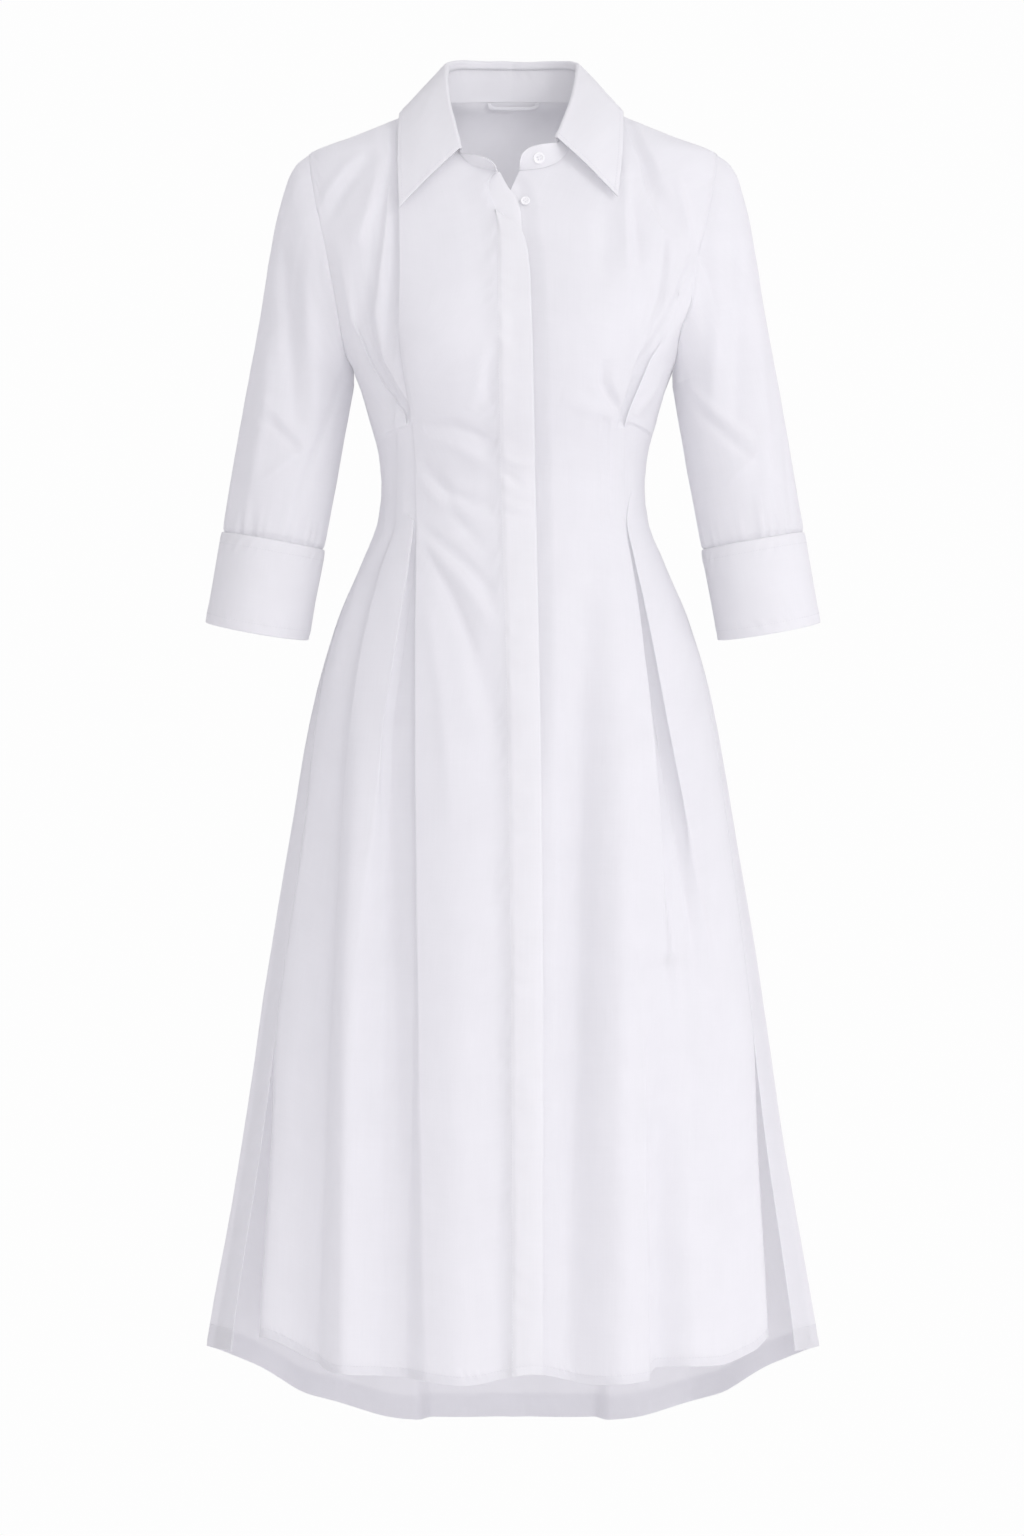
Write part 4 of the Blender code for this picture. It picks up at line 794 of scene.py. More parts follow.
def grid_faces(rows, columns, around):
    """The row and column of each face of a grid, and its four corners."""
    row, column = np.meshgrid(np.arange(rows - 1), np.arange(columns - (not around)),
                              indexing="ij")
    after = (column + 1) % columns
    low, high = row * columns, (row + 1) * columns
    return row, column, np.stack([low + column, low + after, high + after, high + column], axis=-1)


def grid_piece(name, points, material, around=False, wall=0.0):
    """A sheet through a grid of points, with a map that is the flat cloth in metres."""
    row, column, faces = grid_faces(*points.shape[:2], around)
    mesh = smooth_mesh(name, points, faces.reshape(-1, 4).tolist(), material)
    closed = np.concatenate([points, points[:, :1]], axis=1) if around else points
    flat = [np.stack([way[row, column], way[row, column + 1],
                      way[row + 1, column + 1], way[row + 1, column]], axis=-1)
            for way in (lengths(closed, 1), lengths(closed, 0))]
    layer = mesh.uv_layers.new(name="flat_cloth")
    layer.uv.foreach_set("vector", np.stack(flat, axis=-1).astype(np.float32).ravel())
    made = linked(name, mesh)
    if wall:
        solid = made.modifiers.new("wall", "SOLIDIFY")
        solid.thickness = wall
        solid.offset = -1.0
    return made


def cloth_piece(name, points, waves, seed, cloth="white_cotton", turns=(), around=False, wall=0.0,
                **finish):
    """A grid finished as a sheet: its surface waved, its edges turned under, its mesh made."""
    points, normals = uneven(points, around, waves, seed, **finish)
    SEWN_GRIDS[name] = points, normals
    for turn in turns:
        points, normals = turn_under(points, normals, *turn)
    return grid_piece(name, points, cloth_material(cloth), around, wall)


def sewn(piece, nodes=()):
    """Fixes a finished sheet to the dress in place of its solid, which it hides."""
    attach(piece, "root")
    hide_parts(*(nodes or (piece.name.rsplit("_", 1)[0],)))


def stitches(name, lines):
    """Rows of thread, each given as points and outward normals along its line."""
    sewing = bpy.context.scene.shirt_dress_sewing
    half = sewing.thread_width / 2
    points, faces = [], []
    for line, normal in lines:
        way = lengths(line, 0)
        count = max(int(way[-1] / sewing.stitch_pitch), 1)
        for k in range(count):
            ends = (np.array([0.0, 0.2, 0.8, 1.0]) - 0.5) * sewing.stitch_length
            ends += (k + 0.5) * way[-1] / count
            centre = points_at(ends, way, line)
            out = unit(points_at(ends, way, normal))
            aside = unit(np.cross(out, centre[-1] - centre[0]))
            first = len(points)
            points.append(centre[0] - out[0] * half)
            for ring in (1, 2):
                for turn in (0.0, 0.5, 1.0, 1.5):
                    points.append(centre[ring] + aside[ring] * half * math.cos(math.pi * turn)
                                  + out[ring] * half * (0.5 + 0.7 * math.sin(math.pi * turn)))
            points.append(centre[3] - out[3] * half)
            for i in range(4):
                n = (i + 1) % 4
                faces += [(first, first + 1 + n, first + 1 + i),
                          (first + 1 + i, first + 1 + n, first + 5 + n, first + 5 + i),
                          (first + 9, first + 5 + i, first + 5 + n)]
    made = linked(name, smooth_mesh(name, points, faces, thread_material()))
    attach(made, "root")


# ---------------------------------------------------------------- edges that panels share
def hem_shares():
    """Shares of the way from the waist's end to the hem, close together along the hem."""
    drop = WAIST_END - float(curve(HEM, 1, 0.0))
    low = 1.0 - np.array(HEM_ROWS) / drop
    return np.concatenate([low, np.linspace(low[-1], 0.0, SKIRT_ROWS + 1)[1:-1]])


def skirt_height(share, angle):
    return mix(WAIST_END, curve(HEM, 1, np.degrees(angle)), share)


def hung(share, angle, plain):
    """Heights on the skirt where a row has a share of it, and the plain heights elsewhere."""
    return np.where(np.isnan(share), plain, skirt_height(np.nan_to_num(share), angle))


def side_angle(column, height):
    """The angle of the side seam, or of the slit's front edge (1) or back edge (2)."""
    seam, edge = curve(SIDE_EDGES, 1, height), curve(SIDE_EDGES, column, height)
    share = np.where(height >= SLIT_TOP, seam, edge)
    return angle_at(share * curve(SECTIONS, 1, height), height)


def armhole_height(step):
    return mix(UNDERARM, SHOULDER_TIP, (1 - np.cos(np.pi * step)) / 2)


def armhole_angle(step, column):
    """The angle of the armhole's front edge (column 1) or back edge (column 2)."""
    step = np.asarray(step, float)
    below = np.minimum(step, LAST_STEP)
    angle = angle_at(curve(ARMHOLE, 1, armhole_height(below)), armhole_height(below))
    angle = np.minimum(angle, SHOULDER_SEAM) if column == 1 else math.pi - angle
    return mix(angle, SHOULDER_SEAM, np.clip((step - LAST_STEP) / (1 - LAST_STEP), 0, 1))


def neck_front(side, run):
    """Points of the front neckline: angle, height."""
    height = curve(NECK_FRONT, 2, run)
    angle = np.minimum(angle_at(curve(NECK_FRONT, 1, run), height), SHOULDER_SEAM)
    return side * np.where(run >= 1.0, SHOULDER_SEAM, angle), height


def neck_back(t):
    """Points of the back neckline, from the shoulder seam (0) to the centre (1)."""
    return mix(SHOULDER_SEAM, math.pi, t), NECK_FRONT[-1][2] + NECK_BACK_RISE * ease(t)


def stand_end_run(side):
    return STAND_ENDS[side] * NECK_FRONT[1][0] / NECK_FRONT[1][1]


def panel_rows(side, column):
    """Outer ends of a panel's rows from the hem to the shoulder, and how far up each row is."""
    shares = hem_shares()
    angle = np.full(len(shares), 1.3)
    for _ in range(5):
        height = skirt_height(shares, side * angle)
        angle = side_angle(column, height)
    tops = [row[0] for row in WAIST_ROWS[1:]] + [CHEST_START]
    waist = np.concatenate([np.linspace(low, high, count, endpoint=high == CHEST_START)
                            for (low, count), high in zip(WAIST_ROWS, tops)])
    climb = np.linspace(0, len(ARM_STEPS) - 1, CHEST_ROWS)
    step = np.interp(climb, np.arange(len(ARM_STEPS)), ARM_STEPS)
    ends = np.concatenate([angle, side_angle(column, waist), armhole_angle(step, column)])
    heights = np.concatenate([height, waist, armhole_height(step)])
    none = np.full(len(waist) + len(step), np.nan)
    return {"end": side * ends, "end_height": heights,
            "share": np.concatenate([shares, none]),
            "climb": np.concatenate([np.full(len(shares) + len(waist), -1.0), climb]),
            "waist": waist}


def front_rows(side, edge_table):
    """Both ends of the rows of a front."""
    rows = panel_rows(side, 1)
    shares = hem_shares()
    climb = rows["climb"][rows["climb"] >= 0]
    last = len(CENTRE_HEIGHTS) - 1
    runs = np.array((stand_end_run(side),) + NECK_RUNS)
    corner = float(neck_front(side, runs[0])[1])
    low = np.interp(climb, np.arange(last + 2), CENTRE_HEIGHTS + (corner,))
    heights = np.concatenate([skirt_height(shares, 0.0), rows["waist"], low])
    starts = angle_at(curve(edge_table, 1, heights), heights)
    on_neck = climb > last + 1
    run = np.interp(climb, last + 1 + np.arange(len(runs)), runs)
    neck_angle, neck_height = neck_front(side, run)
    offset = len(heights) - len(climb)
    starts[offset:] = np.where(on_neck, neck_angle, starts[offset:])
    heights[offset:] = np.where(on_neck, neck_height, heights[offset:])
    rows["start"], rows["start_height"] = starts, heights
    return rows


def row_place(rows, t):
    """Angle and height at shares of the way along each row."""
    shape = (slice(None),) + (None,) * (np.ndim(t) - 1)
    angle = mix(rows["start"][shape], rows["end"][shape], t)
    plain = mix(rows["start_height"][shape], rows["end_height"][shape], t)
    return angle, hung(rows["share"][shape], angle, plain)


def crossing(rows, side, reach):
    """Where along each row its distance from the centre passes reach(height)."""
    low, high = np.zeros(len(rows["end"])), np.ones(len(rows["end"]))
    for _ in range(20):
        t = (low + high) / 2
        angle, height = row_place(rows, t)
        inside = side * body_point(angle, height)[..., 0] < reach(height)
        low, high = np.where(inside, t, low), np.where(inside, high, t)
    return t


def wall(pleat, far=False):
    """The two ends of a pleat's near or far wall, as distances from the centre at a height."""
    ends = ((1, 2, 3), (1, 2, 3, 4)) if far else ((1,), (1, 3))
    return [lambda h, use=columns: sum(curve(pleat, c, h) for c in use) for columns in ends]


def blended(above, below, level):
    """One pair of lines above a level, another below it, and an even passage between them."""
    return [lambda h, a=a, b=b: mix(b(h), a(h), ease((h - level) / 0.022 + 0.5))
            for a, b in zip(above, below)]


def beside(lines, gap):
    return [lambda h, line=line: line(h) + gap for line in lines]


def wall_stops(rows, side, lines):
    """Where each row crosses the ends of the pleats' walls, kept in order and apart."""
    stops = [crossing(rows, side, line) for line in lines]
    for i in range(1, len(stops)):
        stops[i] = np.maximum(stops[i], stops[i - 1] + STOP_GAP)
    for i in range(len(stops) - 1, -1, -1):
        high = stops[i + 1] if i + 1 < len(stops) else 1.0
        stops[i] = np.minimum(stops[i], high - STOP_GAP)
    return stops


def columns_between(stops, counts, crowd):
    """Shares along each row, with a number of steps in each stretch, crowded to its end."""
    found = []
    for low, high, count, power in zip(stops, stops[1:], counts, crowd):
        share = 1 - (1 - np.arange(count) / count) ** power
        found.append(mix(low[:, None], high[:, None], share[None, :]))
    return np.concatenate(found + [stops[-1][:, None]], axis=1)


# ---------------------------------------------------------------- finishing a sheet's surface
SEWN_GRIDS = {}  # the outer faces that the sewing follows: name -> points, normals


def edge_ways(points):
    """How far each place of a grid is from its four edges, along the cloth."""
    across, up = lengths(points, 1), lengths(points, 0)
    return {"first": across, "last": across[:, -1:] - across,
            "low": up, "high": up[-1:] - up, "across": across, "up": up}


def uneven(points, around, waves, seed, edges=("first", "last", "low", "high"), seams=()):
    """Moves a grid out and in by small waves: puckers along sewing, and faint ripples.

    Each wave is (edge, distance of the sewing from it, pitch, reach, share of full depth).
    The cloth stays where it is right along the edges, where pieces meet, but for seams, which
    are (edge, how deep it is drawn in there, over what width).
    """
    normals = grid_normals(points, around)
    ways = edge_ways(points)
    ripples = ripple(points, 0.085, seed) + 0.4 * ripple(points, 0.03, seed + 1)
    rise = cloth_settings().ripple_depth * ripples
    for number, (edge, inside, pitch, reach, share) in enumerate(waves):
        along = ways["up"] if edge in ("first", "last") else ways["across"]
        rise += share * pucker(ways[edge] - inside, along, pitch, reach, seed + 1.7 * number)
    near = np.min([ways[edge] for edge in edges], axis=0)
    rise *= 1 - np.exp(-((near / EDGE_CALM) ** 2))
    for edge, depth, width in seams:
        rise -= depth * np.exp(-((ways[edge] / width) ** 2))
    points = points + normals * rise[..., None]
    return points, grid_normals(points, around)


def line_inside(name, edge, distance):
    """The line a distance inside an edge of a sewn piece's outer face: points, normals."""
    points, normals = edge_first(edge, SEWN_GRIDS[name])
    way = lengths(points, 0)
    at = np.clip((way < distance).sum(0) - 1, 0, len(points) - 2)
    column = np.arange(points.shape[1])
    low, high = way[at, column], way[at + 1, column]
    t = np.clip((distance - low) / np.maximum(high - low, 1e-9), 0.0, 1.0)[:, None]
    return (mix(points[at, column], points[at + 1, column], t),
            unit(mix(normals[at, column], normals[at + 1, column], t)))


# ---------------------------------------------------------------- fronts and fly
def front_walls(side):
    """The pleats' walls that a front's columns follow, from the centre out."""
    if side == RIGHT:
        bust = wall(RIGHT_BUST_FOLD, far=True)
        first = blended(bust, wall(RIGHT_SHOULDER_PLEAT, far=True), WAIST_TOP)
        second = blended(beside(bust, 0.016), wall(RIGHT_SECOND_PLEAT), WAIST_TOP)
        return wall(RIGHT_SHOULDER_PLEAT) + first + second
    bust = blended(wall(LEFT_SHOULDER_PLEAT), wall(LEFT_BUST_FOLD, far=True), -0.15)
    skirt = blended(wall(LEFT_WAIST_PLEAT), wall(LEFT_HEM_PLEAT), -0.8)
    far = blended(beside(bust, 0.012), wall(LEFT_WAIST_PLEAT, far=True), WAIST_TOP)
    return wall(LEFT_TUCK) + blended(bust, skirt, WAIST_TOP) + far


def front_grid(side, edge_table, lift):
    rows = front_rows(side, edge_table)
    reach = fly_reach if side == LEFT else (lambda height: np.full(np.shape(height), LAP_RAMP))
    past_fly = np.clip(crossing(rows, side, reach), 0.02, 0.3)
    ends = [np.zeros(len(past_fly)), past_fly]
    stops = ends + wall_stops(rows, side, front_walls(side)) + [np.ones(len(past_fly))]
    crowd = (1,) * (len(FRONT_COUNTS) - 1) + (SIDE_CROWD,)
    angle, height = row_place(rows, columns_between(stops, FRONT_COUNTS, crowd))
    points = cloth_point(angle, height, lift(angle, height))
    return points if side == LEFT else points[:, ::-1]


def centre_levels(top):
    """Levels of a centre strip's rows, from the hem up to its top, and their skirt shares."""
    shares = hem_shares()
    levels = np.concatenate([skirt_height(shares, 0.0),
                             np.linspace(WAIST_END, top - 0.02, 120)[1:],
                             np.linspace(top - 0.02, top, 26)[1:]])
    return levels, np.concatenate([shares, np.full(len(levels) - len(shares), np.nan)])


def strip_grid(low_edge, low_shift, high_edge, top, lift, columns):
    """A strip up the centre front between two edges."""
    levels, shares = centre_levels(top)
    low = curve(low_edge, 1, levels) + low_shift
    high = curve(high_edge, 1, levels)
    level = np.broadcast_to(levels[:, None], (len(levels), len(columns)))
    angle = angle_at(mix(low[:, None], high[:, None], columns[None, :]), level)
    height = hung(shares[:, None], angle, level)
    return cloth_point(angle, height, lift(angle, height, columns[None, :]))


def make_front(side, edge_table, lift, seed):
    name = "front_" + SIDE_NAMES[side]
    fly, seam = ("first", "last") if side == LEFT else ("last", "first")
    waves = [("low", HEM_STITCH, 0.0088, 0.0055, 0.45), (seam, 0.0, 0.017, 0.01, 0.5),
             ("low", 0.0, 0.031, 0.016, 0.6)]
    turns = [("low", 8), (seam, 7)]
    if side == RIGHT:
        waves += [(fly, 0.0, 0.024, 0.013, 1.5), (fly, 0.0, 0.011, 0.005, 0.6)]
        turns += [(fly, 3)]
    piece = cloth_piece(name + "_cloth", front_grid(side, edge_table, lift), waves, seed,
                        turns=turns, seams=[(seam, *SEAM_DRAW)])
    sewn(piece, nodes=(name, "skirt_" + name))


# ---------------------------------------------------------------- back
def back_grid():
    rows = panel_rows(LEFT, 2)
    count, climb, shares = len(rows["end"]), rows["climb"], hem_shares()
    yoke = len(ARM_STEPS) - len(NECK_RUNS) - 2
    upper = np.interp(climb[climb >= 0], np.arange(yoke + 1), CENTRE_HEIGHTS[: yoke + 1])
    rows["start"] = np.full(count, math.pi)
    rows["start_height"] = np.concatenate([
        curve(HEM, 1, 180.0) * shares + WAIST_END * (1 - shares), rows["waist"], upper])
    walls = wall_stops(rows, LEFT, wall(BACK_PLEAT) + wall(BACK_PLEAT, far=True))
    stops = [np.zeros(count)] + walls + [np.ones(count)]
    t = columns_between(stops, BACK_COUNTS, (1, 1, 1, 1, SIDE_CROWD))
    low = climb <= yoke
    chest = int(np.flatnonzero(low)[-1])
    angle, height = row_place(rows, t)
    # Above the yoke each row bends up, towards the neckline and the shoulder seam.
    high = ~low
    rise = ((climb[high] - yoke) / (len(ARM_STEPS) - 1 - yoke))[:, None]
    column = np.interp(t[chest], [s[chest] for s in stops], (0, 3, 4, 6, 8, 13))[None, :]
    on_neck, on_shoulder = np.minimum(column / 8, 1.0), np.maximum(column - 8, 0.0) / 5
    neck_point = NECK_FRONT[-1][2]
    top = np.where(column <= 8, neck_back(1 - on_neck)[1],
                   mix(neck_point, SHOULDER_TIP, on_shoulder))
    side, side_height = rows["end"][high][:, None], rows["end_height"][high][:, None]
    chest_side = rows["end_height"][chest]
    along = t[chest][None, :]
    height[high] = mix(height[chest][None, :], top, rise)
    height[high] += (side_height - mix(chest_side, SHOULDER_TIP, rise)) * along * along
    angle[high] = mix(math.pi, side, mix(along, on_neck, rise))
    # The two halves, from the wearer's left round to the right.
    angle = np.concatenate([angle[:, ::-1], -angle[:, 1:]], axis=1)
    height = np.concatenate([height[:, ::-1], height[:, 1:]], axis=1)
    return cloth_point(angle, hung(rows["share"][:, None], angle, height))


# ---------------------------------------------------------------- sleeves and cuffs
def arm_frame(side):
    """The sleeve's root, and its axis, outward and forward directions."""
    axis = unit(np.array([side * math.sin(ARM_LEAN), -ARM_FORWARD, -math.cos(ARM_LEAN)]))
    forward = np.array([0.0, -1.0, 0.0])
    forward = unit(forward - axis * (axis @ forward))
    outward = np.cross(axis, forward)
    outward *= np.sign(outward[0]) * side
    return np.array([side * ARM_ROOT[0], ARM_ROOT[1], ARM_ROOT[2]]), axis, outward, forward


def arm_points(side, round_arm, down, half_width, half_depth):
    """Points of a tube round the arm: 0 underarm, 0.5 front, 1 outside, 1.5 back."""
    root, axis, outward, forward = arm_frame(side)
    turn = np.pi * round_arm
    across = (-np.cos(turn) * half_width)[..., None] * outward
    ahead = (np.sin(turn) * half_depth)[..., None] * forward
    return root + np.asarray(down)[..., None] * axis + across + ahead


def armhole_ring(side, round_arm):
    step = 1 - np.abs(1 - round_arm)
    angle = np.where(round_arm <= 1, armhole_angle(step, 1), armhole_angle(step, 2))
    return cloth_point(side * angle, armhole_height(step))


def make_sleeve(side, seed):
    around = np.linspace(0, 2, 160, endpoint=False)
    share = np.concatenate([np.linspace(0, 0.1, 12)[:-1], np.linspace(0.1, 1.0, 84)])
    top = armhole_ring(side, around)[None, :, :]
    first = arm_points(side, around, np.zeros(1), SLEEVE_RINGS[0][1], SLEEVE_RINGS[0][2])[None]
    outward = arm_frame(side)[2]
    over = ((1 - np.cos(np.pi * (1 - np.abs(1 - around)))) / 2) ** 1.5
    bulge = curve(CAP_RINGS + ((1.0, 0.0),), 1, share)
    cap = mix(top, first, share[:, None, None])
    cap = cap + (bulge[:, None] * over[None, :])[..., None] * outward
    down = np.concatenate([np.linspace(0, 0.15, 66)[1:], np.linspace(0.15, 0.166, 14)[1:]])
    wide, deep = curve(SLEEVE_RINGS, 1, down), curve(SLEEVE_RINGS, 2, down)
    tube = arm_points(side, around[None, :], down[:, None], wide[:, None], deep[:, None])
    points = np.concatenate([cap, tube])
    # Creases, placed by the way round from the front line of the sleeve and by height.
    normals = grid_normals(points[::-1], True)[::-1]
    if side == RIGHT:
        normals = -normals
    way = np.broadcast_to(((around - 0.5) * math.pi * ARM_ROUND)[None, :], points.shape[:2])
    rise = creases_of(SLEEVE_CREASES[side], way, points[..., 2])
    # The cloth is gathered a little into the cuff.
    from_cuff = np.concatenate([np.full(len(share), 0.2), GATHERS["level"] - down])[:, None]
    gathers = np.exp(-((np.maximum(from_cuff, 0.0) / GATHERS["reach"]) ** 2))
    gathers = gathers * (from_cuff > -GATHERS["under"])
    rise += GATHERS["depth"] * gathers * wave(way + 0.1, GATHERS["pitch"], seed)
    rise *= 1 - np.exp(-((lengths(points, 0) / ARMHOLE_CALM) ** 2))
    points = points + normals * rise[..., None]
    points = points[::-1] if side == LEFT else points[::-1, ::-1]
    piece = cloth_piece("sleeve_%s_cloth" % SIDE_NAMES[side], points,
                        [("high", 0.0, 0.016, 0.009, 0.7)], seed, around=True, edges=("high",),
                        seams=[("high", *SEAM_DRAW)])
    sewn(piece)


def make_cuff(side, seed):
    around = np.linspace(0, 2, 150, endpoint=False)
    share = np.concatenate([[0.0, 0.006, 0.016], np.linspace(0.03, 0.97, 34),
                            [0.984, 0.994, 1.0]])
    wide, deep = curve(CUFF_RINGS, 1, share), curve(CUFF_RINGS, 2, share)
    hang = mix(*CUFF_HANG, share)[:, None] * np.sin(np.pi * around)[None, :]
    points = arm_points(side, around[None, :], (CUFF_TOP + share * CUFF_DEPTH)[:, None] + hang,
                        wide[:, None], deep[:, None])
    points = points[::-1] if side == LEFT else points[::-1, ::-1]
    waves = [("low", CUFF_LOW_STITCH, 0.013, 0.006, 0.7),
             ("high", CUFF_HIGH_STITCH, 0.012, 0.006, 0.9)]
    piece = cloth_piece("cuff_%s_cloth" % SIDE_NAMES[side], points, waves, seed,
                        "white_cotton_interlined", around=True, edges=("low",),
                        turns=(("low", len(share) - 4, 0.0009), ("high", 3, 0.0011)))
    sewn(piece)


# ---------------------------------------------------------------- collar
def at_shares(points, shares):
    """Points at shares of the way along a chain of points."""
    way = lengths(points, 0)
    return points_at(np.asarray(shares) * way[-1], way, points)


def collar_place(table, side, run, column):
    """Points of a collar table on one side, with the open collar's skew."""
    run = np.asarray(run, float)
    x, y, z = (curve(table, column + i, run) for i in range(3))
    lean = np.minimum(run, 1.0) ** 2
    return np.stack([side * x + COLLAR_SKEW * lean, y, z + side * COLLAR_DROP * lean**2], axis=-1)


def neck_edge(side):
    """The neckline on one side, from the centre back to the stand's front end."""
    angle, height = neck_back(1 - np.linspace(0, 1, 40, endpoint=False))
    run = np.linspace(1.0, stand_end_run(side), 70)
    front_angle, front_height = neck_front(side, run)
    angle = np.concatenate([side * angle, front_angle])
    height = np.concatenate([height, front_height])
    lift = lap_lift(angle, height) * (np.cos(angle) > 0) if side == LEFT else 0.0
    return cloth_point(angle, height, lift) + np.array([0.0, 0.0, 0.0002])


def roll_frame(side, run):
    """The collar's roll with its outward and upward directions, square to the roll line."""
    run = np.asarray(run, float)
    roll, edge = collar_place(COLLAR, side, run, 1), collar_place(COLLAR, side, run, 4)
    before = collar_place(COLLAR, side, np.maximum(run - 0.03, 0.0), 1)
    line = unit(collar_place(COLLAR, side, np.minimum(run + 0.03, 1.0), 1) - before)

    def square_to_line(vectors):
        return vectors - line * (vectors * line).sum(-1, keepdims=True)

    up = unit(square_to_line(np.broadcast_to([0.0, 0.0, 1.0], line.shape)))
    fall = square_to_line(edge - roll)
    return roll, unit(fall - up * (fall * up).sum(-1, keepdims=True)), up


def stand_half(side, shares):
    """The stand's lower and upper edges on one side, from the centre back to its end."""
    run = np.linspace(0, 1, 60)
    roll, _, up = roll_frame(side, run)
    high = roll - up * mix(*ROLL_RISE, run)[:, None]
    end = collar_place(STAND_END_TOP, side, np.linspace(1.05, 1.32, 20), 1)
    return at_shares(neck_edge(side), shares), at_shares(np.concatenate([high, end]), shares)


def stand_grid():
    shares = np.concatenate([np.linspace(0, 0.96, 120), np.linspace(0.965, 1.0, 12)])
    right_low, right_high = stand_half(RIGHT, shares)
    left_low, left_high = stand_half(LEFT, shares)
    low = np.concatenate([right_low[:0:-1], left_low])
    high = np.concatenate([right_high[:0:-1], left_high])
    return mix(low[None], high[None], np.array(STAND_ROWS)[:, None, None])


def leaf_grid():
    """The leaf's rows: up from the stand, over the roll and down to the edge."""
    run = np.concatenate([np.linspace(0, 0.97, 90), np.linspace(0.974, 1.0, 9)])
    sections = []
    for side in (RIGHT, LEFT):
        roll, out, up = roll_frame(side, run)
        edge = collar_place(COLLAR, side, run, 4)
        start = -COLLAR_CLOTH
        centre = roll + out * (start + ROLL_RADIUS) - up * ROLL_RADIUS
        climb = (mix(*ROLL_RISE, run) + LEAF_LAP)[:, None]
        rows = [roll + out * start - up * climb * t for t in (1.0, 0.66, 0.33)]
        fall = edge - roll
        last = np.arctan2((fall * out).sum(-1), -(fall * up).sum(-1))[:, None]
        for share in np.linspace(0, 1, 13):
            turn = mix(math.pi, last, share)
            rows.append(centre + (out * np.cos(turn) + up * np.sin(turn)) * ROLL_RADIUS)
        crown = unit(out + up)
        leave = rows[-1]
        reach = np.linalg.norm(edge - leave, axis=-1, keepdims=True)
        hem = np.array(LEAF_HEM)[:, None] / reach.T
        steps = np.concatenate([np.linspace(0, 1, 28)[1:-1, None] * (1 - hem[0]), 1 - hem])
        for step in steps[..., None]:
            rise = 0.002 * np.sin(math.pi * step)
            rows.append(mix(leave, edge, step) + crown * rise)
        sections.append(np.array(rows))
    right, left = sections
    return np.concatenate([right[:, :0:-1], left], axis=1)


# ---------------------------------------------------------------- buttons
def button_mesh(name, scale):
    """A turned button with four sewing holes and a soft dish."""
    settings = bpy.context.scene.shirt_dress_buttons
    profile = np.array(BUTTON_PROFILE[:-1]) * scale
    way = lengths(profile, 0)
    fine = np.linspace(0, way[-1], 60)
    table = np.column_stack([way, profile])
    radius, height = curve(table, 1, fine), curve(table, 2, fine)
    turn = np.linspace(0, 2 * np.pi, 72, endpoint=False)
    x, y = radius[:, None] * np.cos(turn), radius[:, None] * np.sin(turn)
    z = np.broadcast_to(height[:, None], x.shape).copy()
    top = fine < BUTTON_TOP * way[-1]
    gap = settings.hole_spacing * scale / 2
    for across, along in ((gap, gap), (-gap, gap), (gap, -gap), (-gap, -gap)):
        away = np.hypot(x - across, y - along) / (settings.hole_width * scale / 2)
        z -= top[:, None] * HOLE_DEPTH * scale * (1 - ease((away - 0.72) / 0.4))
    # The rings run down the outside, so each face is walked the other way round.
    faces = grid_faces(*x.shape, True)[2][..., [0, 3, 2, 1]]
    points = np.stack([x, y, z], axis=-1)
    return smooth_mesh(name, points, faces.reshape(-1, 4).tolist(), resin_material())


def button_thread(name, scale):
    """Two bars of thread between the holes, each of a few strands."""
    gap = bpy.context.scene.shirt_dress_buttons.hole_spacing * scale / 2
    around, across = np.linspace(0, 2 * math.pi, 6, endpoint=False), np.linspace(-gap, gap, 9)
    rise = (0.0011 + 0.0006 * np.cos(across / gap * math.pi / 2)) * scale
    points, faces = [], []
    for along in (-gap, gap):
        for strand in STRANDS:
            first = len(points)
            for i in range(9):
                for turn in around:
                    aside = (strand + STRAND_RADIUS * math.cos(turn)) * 0.001 * scale
                    points.append((across[i], along + aside,
                                   rise[i] + STRAND_RADIUS * 0.001 * scale * math.sin(turn)))
            for i in range(8):
                for k in range(6):
                    a, b = first + 6 * i + k, first + 6 * i + (k + 1) % 6
                    faces.append((a, b, b + 6, a + 6))
    return smooth_mesh(name, points, faces, thread_material())


def make_button(node, place, normal, spin, scale):
    """A button and its thread, both lying on the cloth at place."""
    turn = Vector(normal).to_track_quat("Z", "Y").to_matrix().to_4x4()
    stand = (Matrix.Translation(Vector(place) + Vector(normal) * BUTTON_GAP)
             @ (turn @ Matrix.Rotation(spin, 4, "Z")))
    resin = linked(node + "_resin", button_mesh(node + "_resin", scale))
    thread = linked(node + "_thread", button_thread(node + "_thread", scale))
    for piece, slot in ((resin, "button"), (thread, "cotton")):
        piece.matrix_world = stand
        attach(piece, "root")
    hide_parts(node)


# ---------------------------------------------------------------- materials
def new_node(nodes, kind, values=(), **settings):
    """A node with its settings, and with constant values on its input sockets."""
    node = nodes.new(kind)
    for name, value in settings.items():
        setattr(node, name, value)
    for label, value in dict(values).items():
        node.inputs[label].default_value = value
    return node


